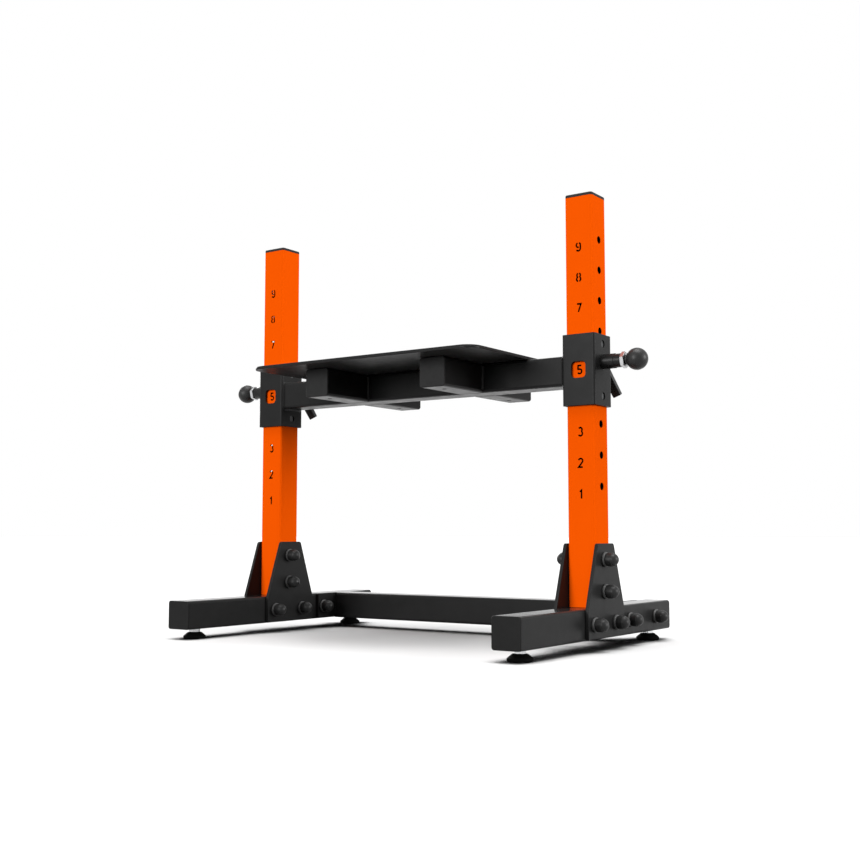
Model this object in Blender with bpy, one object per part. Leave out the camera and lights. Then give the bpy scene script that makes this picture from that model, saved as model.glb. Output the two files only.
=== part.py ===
"""Adjustable step-up platform: two numbered uprights on feet, and a platform that slides on them.

Lengths are metres. X runs along the crossbar, -Y is the front with the numbers, +Z is up.
The origin lies on the floor, midway between the uprights.
"""

import math

import bmesh
import bpy
from mathutils import Matrix, Vector

# Clearances
GAP = 0.0003                    # between pieces that touch
BOLT_CLEARANCE = 0.0003         # around a shank in its hole
SLIDE_CLEARANCE = 0.0003        # around a piece that slides or turns in another

# Square tube, shared by the feet, the uprights, the crossbar, the supports and the rear member
TUBE = 0.050
TUBE_WALL = 0.003
TUBE_CORNER = 0.0045
SMALLEST_CORNER = 0.0004        # inside a tube whose wall is as thick as its corner
END_CAP_THICKNESS = 0.003
END_CAP_CHAMFER = 0.0012
PLUG_DEPTH = 0.012
PLUG_WALL = 0.0018

# Base
UPRIGHT_SPACING = 0.675
FOOT_LENGTH = 0.524
FLOOR_CLEARANCE = 0.0182
GUSSET_THICKNESS = 0.006
GUSSET_EDGE_LIFT = 0.0025
GUSSET_BOLT_RISE = 0.026
GUSSET_BOLT_SPACING = 0.051
GUSSET_BOLT_SPREAD = 0.075
BOLT_EDGE = 0.026
BOLT_LEAD = 0.005               # the bolts sit this far ahead of their plates' middle lines
FLANGE_BOLT_LEAD = 0.006        # and the rear member's bolts this much further
GUSSET_SIDE_MARGIN = 0.003
GUSSET_CORNER = 0.006
FLANGE_BOLT_MARGIN = 0.026
FLANGE_FORE_SHARE = 0.44         # of the foot left free behind the gusset, the part before the flange
FLANGE_CORNER = 0.003
FLANGE_VENT = 0.016

# Bolts with the round covers over their heads and nuts
BOLT = 0.012
COVER_DIAMETER = 0.022
COVER_HEIGHT = 0.0235
COVER_SKIRT_DIAMETER = 0.024
COVER_SKIRT_HEIGHT = 0.0045
COVER_CREASE_HEIGHT = 0.015     # where the dome begins
COVER_DOME_DIAMETER = 0.0208

# Levelling feet
PAD_SETBACK = 0.0405
PAD_DIAMETER = 0.040
PAD_RIM_HEIGHT = 0.005
PAD_ROUNDING = 0.0022
PAD_TOP_DIAMETER = 0.023
STUD = 0.010
STUD_NUT_RATIO = 1.7            # width across the flats over the stud's diameter
LOCK_NUT_HEIGHT = 0.006
WELD_NUT_HEIGHT = 0.008
STUD_TAIL = 0.006

# Levels
LEVELS = 9
LEVEL_IN_USE = 5
LEVEL_PITCH = 0.051
PIN = 0.012
PIN_HOLE = 0.0126
DIGIT_DROP = 0.0134             # a number's centre below its hole
DIGIT_HEIGHT = 0.0155
DIGIT_WIDTH = 0.0102
DIGIT_STROKE = 0.0024
DIGIT_TOP_RATIO = 0.85          # upper loops over lower ones
HIGHEST_DIGIT = 9
MITRE_LEAST = 0.3               # keeps sharp bends of a stroke short
UPRIGHT_CAP_THICKNESS = 0.005

# Sleeves
SLEEVE_PLAY = 0.002             # between the upright and the sleeve's inner wall
SLEEVE_WALL = 0.003
SLEEVE_CORNER = 0.004
SLEEVE_HEIGHT = 0.118
SLEEVE_REST_GAP = 0.0196        # above the gussets at the lowest level
SLEEVE_TOP_GAP = 0.0264         # below the upright's end at the highest level
WINDOW_WIDTH = 0.026
WINDOW_HEIGHT = 0.027
WINDOW_CORNER = 0.0065
LINER_HEIGHT = 0.030
LINER_END_GAP = 0.001
LINER_CORNER = 0.002
PEG = 0.0122
PEG_RECESS = 0.002

# Platform
PLATE_OVERHANG = 0.051          # of the plate past the supports' ends
SUPPORT_INSET = 0.1135
DRAIN_HOLE = 0.0085
DRAIN_SETBACK = 0.0375
PLATE_DEPTH = 0.387
PLATE_SIDE_GAP = 0.0695
PLATE_THICKNESS = 0.004
PLATE_CORNER = 0.025
MAT_THICKNESS = 0.0016
MAT_INSET = 0.0015

# Spring plungers, measured out from the sleeve's outer side
BARREL_DIAMETER = 0.0245
BARREL_LENGTH = 0.023
BARREL_WALL = 0.0006
BARREL_FLOOR = 0.003
PIN_STANDOFF = 0.0007           # tip clear of the upright when drawn
COLLAR_WALL = 0.0009
COLLAR_SHOW = 0.012
COLLAR_COVER = 0.009            # collar still inside the barrel when drawn
COLLAR_END = 0.002
KNOB_STEM = 0.010
PLUNGER_NUT_FLATS = 0.024
PLUNGER_NUT_HEIGHT = 0.0062
KNOB_DIAMETER = 0.036
KNOB_NECK_DIAMETER = 0.016
KNOB_NECK = 0.0026
KNOB_BORE_DEPTH = 0.011
SPRING_WIRE = 0.0014
SPRING_MARGIN = 0.0004
SPRING_TURNS = 6

# Clamp levers, on the back of the sleeves
CLAMP_STUD = 0.008
CLAMP_BOSS_DIAMETER = 0.018
CLAMP_BOSS_LENGTH = 0.010
HUB_DIAMETER = 0.019
HUB_LENGTH = 0.027
HUB_TOP = 0.0135
HUB_FOOT_RATIO = 0.86           # width of the hub's foot over its own
HUB_SKIRT = 0.004
HUB_CROWN = 0.003
HUB_CROWN_RATIO = 0.7
LEVER_SETBACK = 0.001           # of the arm from the hub's end
LEVER_REACH = 0.0545
LEVER_ROUNDING = 0.0012
LEVER_TURN = math.radians(20.0)
LEVER_TILT = math.radians(20.0)
LEVER_ROOT = (0.0165, 0.0115)
LEVER_TIP = (0.0145, 0.0095)

# Facets and edge breaks
CHAMFER = 0.001
CORNER_SEGMENTS = 2
GUSSET_CORNER_SEGMENTS = 3
PLATE_CORNER_SEGMENTS = 5
DOME_STEPS = 4
KNOB_STEPS = 7
HOLE_SEGMENTS = 12
ROUND_SEGMENTS = 16
SPRING_STEPS = 9                # round one turn of the coil
SPRING_SIDES = 5                # round the wire
SMOOTH_ANGLE = math.radians(35.0)
MERGE = 0.0000001               # points closer than this are one
AXIS_MARK = 0.03                # drawn size of an empty

# Places that follow from the sizes above
HALF_TUBE = TUBE / 2
UPRIGHT_X = UPRIGHT_SPACING / 2
FOOT_TOP = FLOOR_CLEARANCE + TUBE
FOOT_MID = FLOOR_CLEARANCE + HALF_TUBE
GUSSET_RISE = GUSSET_BOLT_RISE + GUSSET_BOLT_SPACING + BOLT_EDGE
SLEEVE_HALF = HALF_TUBE + SLEEVE_PLAY + SLEEVE_WALL
FIRST_HOLE = FOOT_TOP + GUSSET_RISE + SLEEVE_REST_GAP + SLEEVE_HEIGHT / 2 + DIGIT_DROP
LAST_HOLE = FIRST_HOLE + (LEVELS - 1) * LEVEL_PITCH
UPRIGHT_TOP = LAST_HOLE - DIGIT_DROP + SLEEVE_HEIGHT / 2 + SLEEVE_TOP_GAP
PLUNGER_Z = FIRST_HOLE + (LEVEL_IN_USE - 1) * LEVEL_PITCH
CARRIAGE_Z = PLUNGER_Z - DIGIT_DROP
PLATE_HALF_WIDTH = UPRIGHT_X - SLEEVE_HALF - PLATE_SIDE_GAP
SUPPORT_REACH = PLATE_DEPTH / 2 - PLATE_OVERHANG
SUPPORT_X = PLATE_HALF_WIDTH - SUPPORT_INSET
FLANGE_BOLT_SPREAD = TUBE + 2 * FLANGE_BOLT_MARGIN
FLANGE_LENGTH = FLANGE_BOLT_SPREAD + 2 * BOLT_EDGE
GUSSET_WIDTH = GUSSET_BOLT_SPREAD + 2 * BOLT_EDGE
FREE_FOOT = FOOT_LENGTH / 2 - GUSSET_WIDTH / 2 - FLANGE_LENGTH
REAR_Y = GUSSET_WIDTH / 2 + FREE_FOOT * FLANGE_FORE_SHARE + FLANGE_LENGTH / 2
PAD_Y = FOOT_LENGTH / 2 - PAD_SETBACK
PLATE_OUTER = HALF_TUBE + GAP + GUSSET_THICKNESS

SIDES = {"left": -1, "right": 1}

# Turns from a flat outline to the plane it stands in: columns are the outline's x, y and depth
FACING_X = Matrix(((0, 0, 1, 0), (1, 0, 0, 0), (0, 1, 0, 0), (0, 0, 0, 1)))
FACING_FRONT = Matrix(((1, 0, 0, 0), (0, 0, -1, 0), (0, 1, 0, 0), (0, 0, 0, 1)))
FACING_Z = Matrix.Identity(4)
FACING_Y = Matrix.Rotation(-math.pi / 2, 4, "X")

# Finishes: colour as written on screen, metallic, roughness
ORANGE_COAT = ("FA5A03", 0.0, 0.45)
BLACK_COAT = ("3A3A3A", 0.1, 0.5)
BLACK_PLASTIC = ("232527", 0.0, 0.55)
BLACK_RUBBER = ("1C1C1C", 0.0, 0.85)
ZINC = ("C4C6C8", 1.0, 0.3)
STEEL = ("9A9C9E", 1.0, 0.4)
NYLON = ("2A2C2E", 0.0, 0.6)


def linear(code):
    """Turns a six digit screen colour into linear light values."""
    parts = [int(code[i:i + 2], 16) / 255 for i in (0, 2, 4)]
    return [c / 12.92 if c <= 0.04045 else ((c + 0.055) / 1.055) ** 2.4 for c in parts] + [1.0]


def material(name, finish):
    """Makes the piece's own material from its finish."""
    code, metallic, roughness = finish
    made = bpy.data.materials.new(name)
    made.use_nodes = True
    shader = made.node_tree.nodes["Principled BSDF"]
    shader.inputs["Base Color"].default_value = linear(code)
    shader.inputs["Metallic"].default_value = metallic
    shader.inputs["Roughness"].default_value = roughness
    return made


def axis_at(name, place, parent=None):
    """Adds an empty that stands on a joint's axis."""
    empty = bpy.data.objects.new(name, None)
    empty.empty_display_size = AXIS_MARK
    bpy.context.collection.objects.link(empty)
    empty.parent = parent
    empty.location = Vector(place) - (parent.matrix_world.translation if parent else Vector())
    bpy.context.view_layer.update()
    return empty


def piece(name, shape, finish, place, parent=None):
    """Turns a shape modelled in world places into a named object with its origin at place."""
    place = Vector(place)
    bmesh.ops.translate(shape, verts=shape.verts, vec=-place)
    mesh = bpy.data.meshes.new(name)
    shape.to_mesh(mesh)
    shape.free()
    mesh.shade_smooth()
    mesh.set_sharp_from_angle(angle=SMOOTH_ANGLE)
    mesh.materials.append(material(name + "_finish", finish))
    made = bpy.data.objects.new(name, mesh)
    bpy.context.collection.objects.link(made)
    made.parent = parent
    made.location = place - (parent.matrix_world.translation if parent else Vector())
    return made


def moved(shape, matrix):
    """Moves a shape by a matrix and returns it."""
    bmesh.ops.transform(shape, matrix=matrix, verts=shape.verts)
    return shape


def at(shape, x=0.0, y=0.0, z=0.0, facing=FACING_Z):
    """Turns a shape and sets it down at a place."""
    return moved(shape, Matrix.Translation((x, y, z)) @ facing)


def together(shapes):
    """Puts separate solids into one shape."""
    whole = bmesh.new()
    for shape in shapes:
        mesh = bpy.data.meshes.new("part_of_group")
        shape.to_mesh(mesh)
        shape.free()
        whole.from_mesh(mesh)
        bpy.data.meshes.remove(mesh)
    return whole


def combined(body, tool, operation):
    """Returns the exact Boolean of two shapes."""
    objects = []
    for shape in (body, tool):
        mesh = bpy.data.meshes.new("working_mesh")
        shape.to_mesh(mesh)
        shape.free()
        working = bpy.data.objects.new("working_object", mesh)
        bpy.context.collection.objects.link(working)
        objects.append(working)
    boolean = objects[0].modifiers.new("combine", "BOOLEAN")
    boolean.solver = "EXACT"
    boolean.operation = operation
    boolean.object = objects[1]
    graph = bpy.context.evaluated_depsgraph_get()
    result_mesh = bpy.data.meshes.new_from_object(objects[0].evaluated_get(graph))
    result = bmesh.new()
    result.from_mesh(result_mesh)
    bpy.data.meshes.remove(result_mesh)
    for working in objects:
        mesh = working.data
        bpy.data.objects.remove(working)
        bpy.data.meshes.remove(mesh)
    return result


def carved(body, cutters):
    """Cuts a list of separate shapes out of a body."""
    return combined(body, together(cutters), "DIFFERENCE")


def joined(body, additions):
    """Unites a list of separate shapes with a body."""
    return combined(body, together(additions), "UNION")


def arc(centre, radius, start, end, steps):
    """Points on an arc, from one angle to another in degrees."""
    angles = [math.radians(start + (end - start) * i / steps) for i in range(steps + 1)]
    return [(centre[0] + radius * math.cos(a), centre[1] + radius * math.sin(a)) for a in angles]


def rounded_rectangle(width, height, radius, segments=CORNER_SEGMENTS):
    """Outline of a rectangle with rounded corners, centred on the origin."""
    points = []
    for quarter, (sx, sy) in enumerate(((1, 1), (-1, 1), (-1, -1), (1, -1))):
        centre = (sx * (width / 2 - radius), sy * (height / 2 - radius))
        points += arc(centre, radius, 90 * quarter, 90 * quarter + 90, segments)
    return points


def polygon(across_flats, sides=6):
    """Outline of a regular polygon with flats up and down."""
    radius = across_flats / 2 / math.cos(math.pi / sides)
    return [(radius * math.cos(2 * math.pi * i / sides), radius * math.sin(2 * math.pi * i / sides))
            for i in range(sides)]


def prism(outline, depth):
    """Extrudes a flat outline up from z = 0."""
    shape = bmesh.new()
    face = shape.faces.new([shape.verts.new((x, y, 0.0)) for x, y in outline])
    grown = bmesh.ops.extrude_face_region(shape, geom=[face])
    top = [item for item in grown["geom"] if isinstance(item, bmesh.types.BMVert)]
    bmesh.ops.translate(shape, verts=top, vec=(0.0, 0.0, depth))
    bmesh.ops.recalc_face_normals(shape, faces=shape.faces)
    return shape


def rod(radius, length, segments=HOLE_SEGMENTS):
    """A plain round rod from z = 0 up."""
    shape = bmesh.new()
    bmesh.ops.create_cone(shape, cap_ends=True, segments=segments, radius1=radius, radius2=radius,
                          depth=length, matrix=Matrix.Translation((0.0, 0.0, length / 2)))
    return shape


def turned(profile, segments=ROUND_SEGMENTS):
    """Spins a profile of (radius, height) points about Z. It ends on the axis or where it began."""
    shape = bmesh.new()
    ring = profile[0] == profile[-1]
    verts = [shape.verts.new((r, 0.0, z)) for r, z in (profile[:-1] if ring else profile)]
    count = len(verts)
    links = count if ring else count - 1
    edges = [shape.edges.new((verts[i], verts[(i + 1) % count])) for i in range(links)]
    bmesh.ops.spin(shape, geom=verts + edges, cent=(0, 0, 0), axis=(0, 0, 1), angle=2 * math.pi,
                   steps=segments, use_merge=True)
    bmesh.ops.remove_doubles(shape, verts=shape.verts, dist=MERGE)
    bmesh.ops.recalc_face_normals(shape, faces=shape.faces)
    return shape


def lofted(rings, looped=False):
    """Skins a row of rings that have as many points each. A looped row joins its last ring to its first."""
    shape = bmesh.new()
    rows = [[shape.verts.new(point) for point in ring] for ring in rings]
    pairs = list(zip(rows, rows[1:])) + ([(rows[-1], rows[0])] if looped else [])
    count = len(rows[0])
    for low, high in pairs:
        for i in range(count):
            j = (i + 1) % count
            shape.faces.new((low[i], low[j], high[j], high[i]))
    if not looped:
        shape.faces.new(rows[0])
        shape.faces.new(rows[-1])
    bmesh.ops.recalc_face_normals(shape, faces=shape.faces)
    return shape


def level_ring(width, corner, z):
    """A rounded square at one height, as points in space."""
    return [(x, y, z) for x, y in rounded_rectangle(width, width, corner)]


def square_tube(length, width=TUBE, wall=TUBE_WALL, corner=TUBE_CORNER):
    """An open square tube along Z, from z = 0 up."""
    inner = max(corner - wall, SMALLEST_CORNER)
    return lofted([level_ring(width, corner, 0.0), level_ring(width, corner, length),
                   level_ring(width - 2 * wall, inner, length),
                   level_ring(width - 2 * wall, inner, 0.0)], looped=True)


def end_cap(thickness):
    """A plastic cap for the tube's end: its face is up and its hollow plug hangs into the tube."""
    plug = TUBE - 2 * TUBE_WALL - 2 * GAP
    corner = max(TUBE_CORNER - TUBE_WALL, SMALLEST_CORNER)
    inner = plug - 2 * PLUG_WALL
    return lofted([level_ring(TUBE - 2 * END_CAP_CHAMFER, TUBE_CORNER - END_CAP_CHAMFER / 2, thickness),
                   level_ring(TUBE, TUBE_CORNER, thickness - END_CAP_CHAMFER),
                   level_ring(TUBE, TUBE_CORNER, 0.0),
                   level_ring(plug, corner, 0.0),
                   level_ring(plug, corner, -PLUG_DEPTH),
                   level_ring(inner, corner / 2, -PLUG_DEPTH),
                   level_ring(inner, corner / 2, 0.0)])


def hex_nut(thread, flats, height):
    """A plain hexagon nut with its hole, from z = 0 up."""
    return carved(prism(polygon(flats), height),
                  [at(rod(thread / 2 + BOLT_CLEARANCE, 3 * height), z=-height)])


def cover_profile():
    """Half section of a bolt cover from its foot to its crown: skirt, body, crease and dome."""
    skirt = COVER_SKIRT_DIAMETER / 2
    body = COVER_DIAMETER / 2
    dome = COVER_DOME_DIAMETER / 2
    centre = COVER_HEIGHT - dome
    first = math.degrees(math.asin((COVER_CREASE_HEIGHT - centre) / dome))
    cap = arc((0.0, centre), dome, first, 90.0, DOME_STEPS)[:-1]
    return [(skirt, 0.0), (skirt, COVER_SKIRT_HEIGHT), (body, COVER_SKIRT_HEIGHT),
            (body, COVER_CREASE_HEIGHT), *cap, (0.0, COVER_HEIGHT)]


def covered_bolt(inner, outer):
    """A bolt along Z whose covers start at -inner and at outer."""
    low = [(r, -inner - GAP - z) for r, z in cover_profile()]
    high = [(r, outer + GAP + z) for r, z in cover_profile()]
    shank = [(BOLT / 2, -inner - GAP), (BOLT / 2, outer + GAP)]
    return turned(low[::-1] + shank + high, HOLE_SEGMENTS)


def ribbon(points, width):
    """Outline of a stroke of even width along a path, with flat ends and mitred bends."""
    count = len(points)
    steps = [(Vector(points[i + 1]) - Vector(points[i])).normalized() for i in range(count - 1)]
    left, right = [], []
    for i, point in enumerate(points):
        before = steps[max(i - 1, 0)]
        after = steps[min(i, count - 2)]
        normal = Vector((-(before + after).y, (before + after).x)).normalized()
        reach = width / 2 / max(normal.dot(Vector((-before.y, before.x))), MITRE_LEAST)
        left.append(tuple(Vector(point) + normal * reach))
        right.append(tuple(Vector(point) - normal * reach))
    return left + right[::-1]


def digit_paths(number):
    """Middle lines of one stencil number about its centre, in shares of its half width and height."""
    x = (DIGIT_WIDTH - DIGIT_STROKE) / 2
    z = (DIGIT_HEIGHT - DIGIT_STROKE) / 2
    top = DIGIT_TOP_RATIO * x
    high = (0.0, z - top)
    low = (0.0, x - z)
    waist = [(0.6 * x, 0.1 * z)]
    eight = arc(high, top, 72, -15, 3) + waist + arc(low, x, 25, -74, 4)
    nine = [arc((0.0, z - x), x, 68, 0, 3) + arc(low, x, 0, -150, 6), arc((0.0, z - x), x, 112, 285, 6)]
    shapes = {
        1: [[(-0.6 * x, 0.62 * z), (0.25 * x, z), (0.25 * x, -z)]],
        2: [arc(high, x, 165, -25, 5) + [(-x, -z), (x, -z)]],
        3: [arc(high, top, 150, -15, 5) + waist + arc(low, x, 25, -150, 6)],
        4: [[(0.3 * x, z), (-x, -0.3 * z), (0.02 * x, -0.3 * z)], [(0.6 * x, 0.4 * z), (0.6 * x, -z)]],
        5: [[(0.85 * x, z), (-0.75 * x, z), (-0.85 * x, 0.16 * z)] + arc(low, x, 115, -150, 7)],
        6: [[(-a, -b) for a, b in path] for path in nine],
        7: [[(-x, z), (x, z), (-0.3 * x, -z)]],
        8: [eight, [(-a, b) for a, b in eight]],
        9: nine,
    }
    return shapes[number]


def digit_cutters(number, x, y, z, depth):
    """Cutters for one number, running back from the front plane at y."""
    return [at(prism(ribbon(path, DIGIT_STROKE), depth), x, y, z, FACING_FRONT)
            for path in digit_paths(number)]


def across(x_low, y, z, radius, length):
    """A cutter along X."""
    return at(rod(radius, length), x_low, y, z, FACING_X)


def spread(middle, distance):
    """Where a plate's front and rear bolt stand along the foot."""
    return [middle - BOLT_LEAD + side * distance / 2 for side in (-1, 1)]


def build_feet():
    """The two foot tubes with their welded nuts, the end caps and the levelling feet."""
    bolt_hole = BOLT / 2 + BOLT_CLEARANCE
    nut_flats = STUD * STUD_NUT_RATIO
    tube_length = FOOT_LENGTH - 2 * (END_CAP_THICKNESS + GAP)
    bolt_ys = [*spread(0.0, GUSSET_BOLT_SPREAD), *spread(REAR_Y - FLANGE_BOLT_LEAD, FLANGE_BOLT_SPREAD)]
    nut_base = FLOOR_CLEARANCE + TUBE_WALL / 2
    for side, sign in SIDES.items():
        x = sign * UPRIGHT_X
        tube = at(square_tube(tube_length), x, -tube_length / 2, FOOT_MID, FACING_Y)
        nuts = [at(prism(polygon(nut_flats), TUBE_WALL / 2 + WELD_NUT_HEIGHT), x, y, nut_base)
                for y in (-PAD_Y, PAD_Y)]
        cutters = [across(x - TUBE, y, FOOT_MID, bolt_hole, 2 * TUBE) for y in bolt_ys]
        cutters += [at(rod(STUD / 2 + BOLT_CLEARANCE, FOOT_MID), x, y, 0) for y in (-PAD_Y, PAD_Y)]
        piece(f"foot_tube_{side}", carved(joined(tube, nuts), cutters), BLACK_COAT, (x, 0, FOOT_MID))
        for end, ahead in (("front", -1), ("rear", 1)):
            name = f"{end}_{side}"
            y = ahead * (tube_length / 2 + GAP)
            piece(f"foot_end_cap_{name}", at(end_cap(END_CAP_THICKNESS), x, y, FOOT_MID, facing_end(ahead)),
                  BLACK_PLASTIC, (x, y, FOOT_MID))
            y = ahead * PAD_Y
            z = FLOOR_CLEARANCE - GAP - LOCK_NUT_HEIGHT
            piece(f"levelling_lock_nut_{name}", at(hex_nut(STUD, nut_flats, LOCK_NUT_HEIGHT), x, y, z),
                  ZINC, (x, y, z))
            axis = axis_at(f"levelling_axis_{name}", (x, y, 0))
            piece(f"levelling_foot_{name}", at(levelling_foot(), x, y), BLACK_RUBBER, (x, y, 0), axis)


def facing_end(ahead):
    """The turn of an end cap that looks forwards or backwards along Y."""
    return Matrix.Rotation(-ahead * math.pi / 2, 4, "X")


def levelling_foot():
    """A conical pad on its threaded stud."""
    pad_height = FLOOR_CLEARANCE - 2 * GAP - LOCK_NUT_HEIGHT
    pad = PAD_DIAMETER / 2
    stud = STUD / 2
    stud_top = FLOOR_CLEARANCE + TUBE_WALL + WELD_NUT_HEIGHT + STUD_TAIL
    rounding = arc((pad - PAD_ROUNDING, PAD_ROUNDING), PAD_ROUNDING, -90.0, 0.0, CORNER_SEGMENTS)
    return turned([(0.0, 0.0), *rounding, (pad, PAD_RIM_HEIGHT), (PAD_TOP_DIAMETER / 2, pad_height),
                   (stud, pad_height), (stud, stud_top - CHAMFER), (stud - CHAMFER, stud_top),
                   (0.0, stud_top)])


def upright(sign):
    """One upright with its pin holes, bolt holes and numbers."""
    x = sign * UPRIGHT_X
    outer_wall = x + sign * (HALF_TUBE - TUBE_WALL / 2)
    cutters = []
    for level in range(1, LEVELS + 1):
        z = FIRST_HOLE + (level - 1) * LEVEL_PITCH
        cutters.append(across(outer_wall - TUBE_WALL, 0, z, PIN_HOLE / 2, 2 * TUBE_WALL))
        digit = (level - 1) % HIGHEST_DIGIT + 1
        cutters += digit_cutters(digit, x, -HALF_TUBE + TUBE_WALL * 1.5, z - DIGIT_DROP, TUBE_WALL * 2)
    for rise in (GUSSET_BOLT_RISE, GUSSET_BOLT_RISE + GUSSET_BOLT_SPACING):
        cutters.append(across(x - TUBE, -BOLT_LEAD, FOOT_TOP + rise, BOLT / 2 + BOLT_CLEARANCE, 2 * TUBE))
    bottom = FOOT_TOP + GAP
    return carved(at(square_tube(UPRIGHT_TOP - bottom), x, 0, bottom), cutters)


def build_uprights():
    """Both uprights and their top caps."""
    for side, sign in SIDES.items():
        x = sign * UPRIGHT_X
        piece(f"upright_{side}", upright(sign), ORANGE_COAT, (x, 0, FOOT_TOP))
        piece(f"upright_cap_{side}", at(end_cap(UPRIGHT_CAP_THICKNESS), x, 0, UPRIGHT_TOP + GAP),
              BLACK_PLASTIC, (x, 0, UPRIGHT_TOP))


def gusset():
    """A side plate that ties an upright to its foot, standing on z = 0 in its own y and z."""
    shoulder = TUBE - GUSSET_EDGE_LIFT
    height = shoulder + GUSSET_RISE
    top = TUBE / 2 + GUSSET_SIDE_MARGIN
    lean = math.degrees(math.atan2(GUSSET_WIDTH / 2 - top, GUSSET_RISE))
    right = [(GUSSET_WIDTH / 2, 0.0), (GUSSET_WIDTH / 2, shoulder)]
    centre = (top - GUSSET_CORNER, height - GUSSET_CORNER)
    right += arc(centre, GUSSET_CORNER, lean, 90, GUSSET_CORNER_SEGMENTS)
    outline = right + [(-x, y) for x, y in right[::-1]]
    return prism(outline, GUSSET_THICKNESS)


def build_gussets():
    """The four gussets, and where their bolts run."""
    hole = BOLT / 2 + BOLT_CLEARANCE
    bottom = FLOOR_CLEARANCE + GUSSET_EDGE_LIFT
    front, rear = spread(0.0, GUSSET_BOLT_SPREAD)
    places = {"foot_front": (front, FOOT_MID),
              "foot_rear": (rear, FOOT_MID),
              "upright_lower": (-BOLT_LEAD, FOOT_TOP + GUSSET_BOLT_RISE),
              "upright_upper": (-BOLT_LEAD, FOOT_TOP + GUSSET_BOLT_RISE + GUSSET_BOLT_SPACING)}
    for side, sign in SIDES.items():
        for face, outward in (("outer", sign), ("inner", -sign)):
            low = sign * UPRIGHT_X + (HALF_TUBE + GAP if outward > 0 else -PLATE_OUTER)
            cutters = [across(low - GUSSET_THICKNESS, y, z, hole, 3 * GUSSET_THICKNESS)
                       for y, z in places.values()]
            piece(f"gusset_{face}_{side}", carved(at(gusset(), low, 0, bottom, FACING_X), cutters),
                  BLACK_COAT, (low, 0, bottom))
    build_bolts("gusset_bolt", places, PLATE_OUTER)


def build_rear_member():
    """The rear cross tube with a flange welded to either end, bolted to the feet."""
    hole = BOLT / 2 + BOLT_CLEARANCE
    height = TUBE - GUSSET_EDGE_LIFT
    middle = FLOOR_CLEARANCE + GUSSET_EDGE_LIFT + height / 2
    front, rear = spread(REAR_Y - FLANGE_BOLT_LEAD, FLANGE_BOLT_SPREAD)
    places = {"front": (front, FOOT_MID), "rear": (rear, FOOT_MID)}
    inner = UPRIGHT_X - PLATE_OUTER
    length = 2 * inner + GUSSET_THICKNESS
    tube = at(square_tube(length), -length / 2, REAR_Y, FOOT_MID, FACING_X)
    flange = rounded_rectangle(FLANGE_LENGTH, height, FLANGE_CORNER)
    flanges = [at(prism(flange, GUSSET_THICKNESS), low, REAR_Y, middle, FACING_X)
               for low in (inner, -inner - GUSSET_THICKNESS)]
    openings = [(y, z, hole) for y, z in places.values()] + [(REAR_Y, FOOT_MID, FLANGE_VENT / 2)]
    cutters = [across(low, y, z, radius, 3 * GUSSET_THICKNESS)
               for low in (inner - GUSSET_THICKNESS, -inner - 2 * GUSSET_THICKNESS)
               for y, z, radius in openings]
    piece("rear_cross_member", carved(joined(tube, flanges), cutters), BLACK_COAT, (0, REAR_Y, FOOT_MID))
    build_bolts("flange_bolt", places, HALF_TUBE)


def build_bolts(name, places, outer):
    """One row of covered bolts on each foot, heads outwards."""
    for side, sign in SIDES.items():
        facing = FACING_X if sign > 0 else FACING_X @ Matrix.Rotation(math.pi, 4, "X")
        for place, (y, z) in places.items():
            where = (sign * UPRIGHT_X, y, z)
            piece(f"{name}_{side}_{place}", at(covered_bolt(PLATE_OUTER, outer), *where, facing),
                  BLACK_PLASTIC, where)


def sleeve(sign):
    """One sleeve with its window and peg holes, the plunger's barrel and the clamp's boss welded on."""
    x = sign * UPRIGHT_X
    width = 2 * SLEEVE_HALF
    body = at(square_tube(SLEEVE_HEIGHT, width, SLEEVE_WALL, SLEEVE_CORNER), x, 0,
              CARRIAGE_Z - SLEEVE_HEIGHT / 2)
    outer = BARREL_DIAMETER / 2
    bore = outer - BARREL_WALL
    root = -SLEEVE_WALL / 2
    barrel = turned([(0.0, root), (outer, root), (outer, BARREL_LENGTH), (bore, BARREL_LENGTH),
                     (bore, BARREL_FLOOR), (0.0, BARREL_FLOOR)], ROUND_SEGMENTS)
    boss = rod(CLAMP_BOSS_DIAMETER / 2, CLAMP_BOSS_LENGTH - root, ROUND_SEGMENTS)
    additions = [at(barrel, *plunger_place(sign), plunger_facing(sign)),
                 at(boss, x, SLEEVE_HALF + root, PLUNGER_Z, FACING_Y)]
    window = prism(rounded_rectangle(WINDOW_WIDTH, WINDOW_HEIGHT, WINDOW_CORNER), 3 * SLEEVE_WALL)
    cutters = [at(window, x, -SLEEVE_HALF + 2 * SLEEVE_WALL, CARRIAGE_Z, FACING_FRONT)]
    for z in peg_heights():
        cutters.append(across(x - width, 0, z, PEG / 2, 2 * width))
    pin_hole = rod(PIN / 2 + SLIDE_CLEARANCE, SLEEVE_WALL + 2 * BARREL_FLOOR)
    pin_hole = at(pin_hole, z=-SLEEVE_WALL - BARREL_FLOOR / 2)
    cutters.append(at(pin_hole, *plunger_place(sign), plunger_facing(sign)))
    cutters.append(at(rod(CLAMP_STUD / 2 + SLIDE_CLEARANCE, 2 * CLAMP_BOSS_LENGTH), x,
                      SLEEVE_HALF - 2 * SLEEVE_WALL, PLUNGER_Z, FACING_Y))
    return carved(joined(body, additions), cutters)


def peg_heights():
    """Heights of the liners' pegs, above and below the sleeve's middle."""
    offset = SLEEVE_HEIGHT / 2 - LINER_END_GAP - LINER_HEIGHT / 2
    return [CARRIAGE_Z + offset, CARRIAGE_Z - offset]


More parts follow.
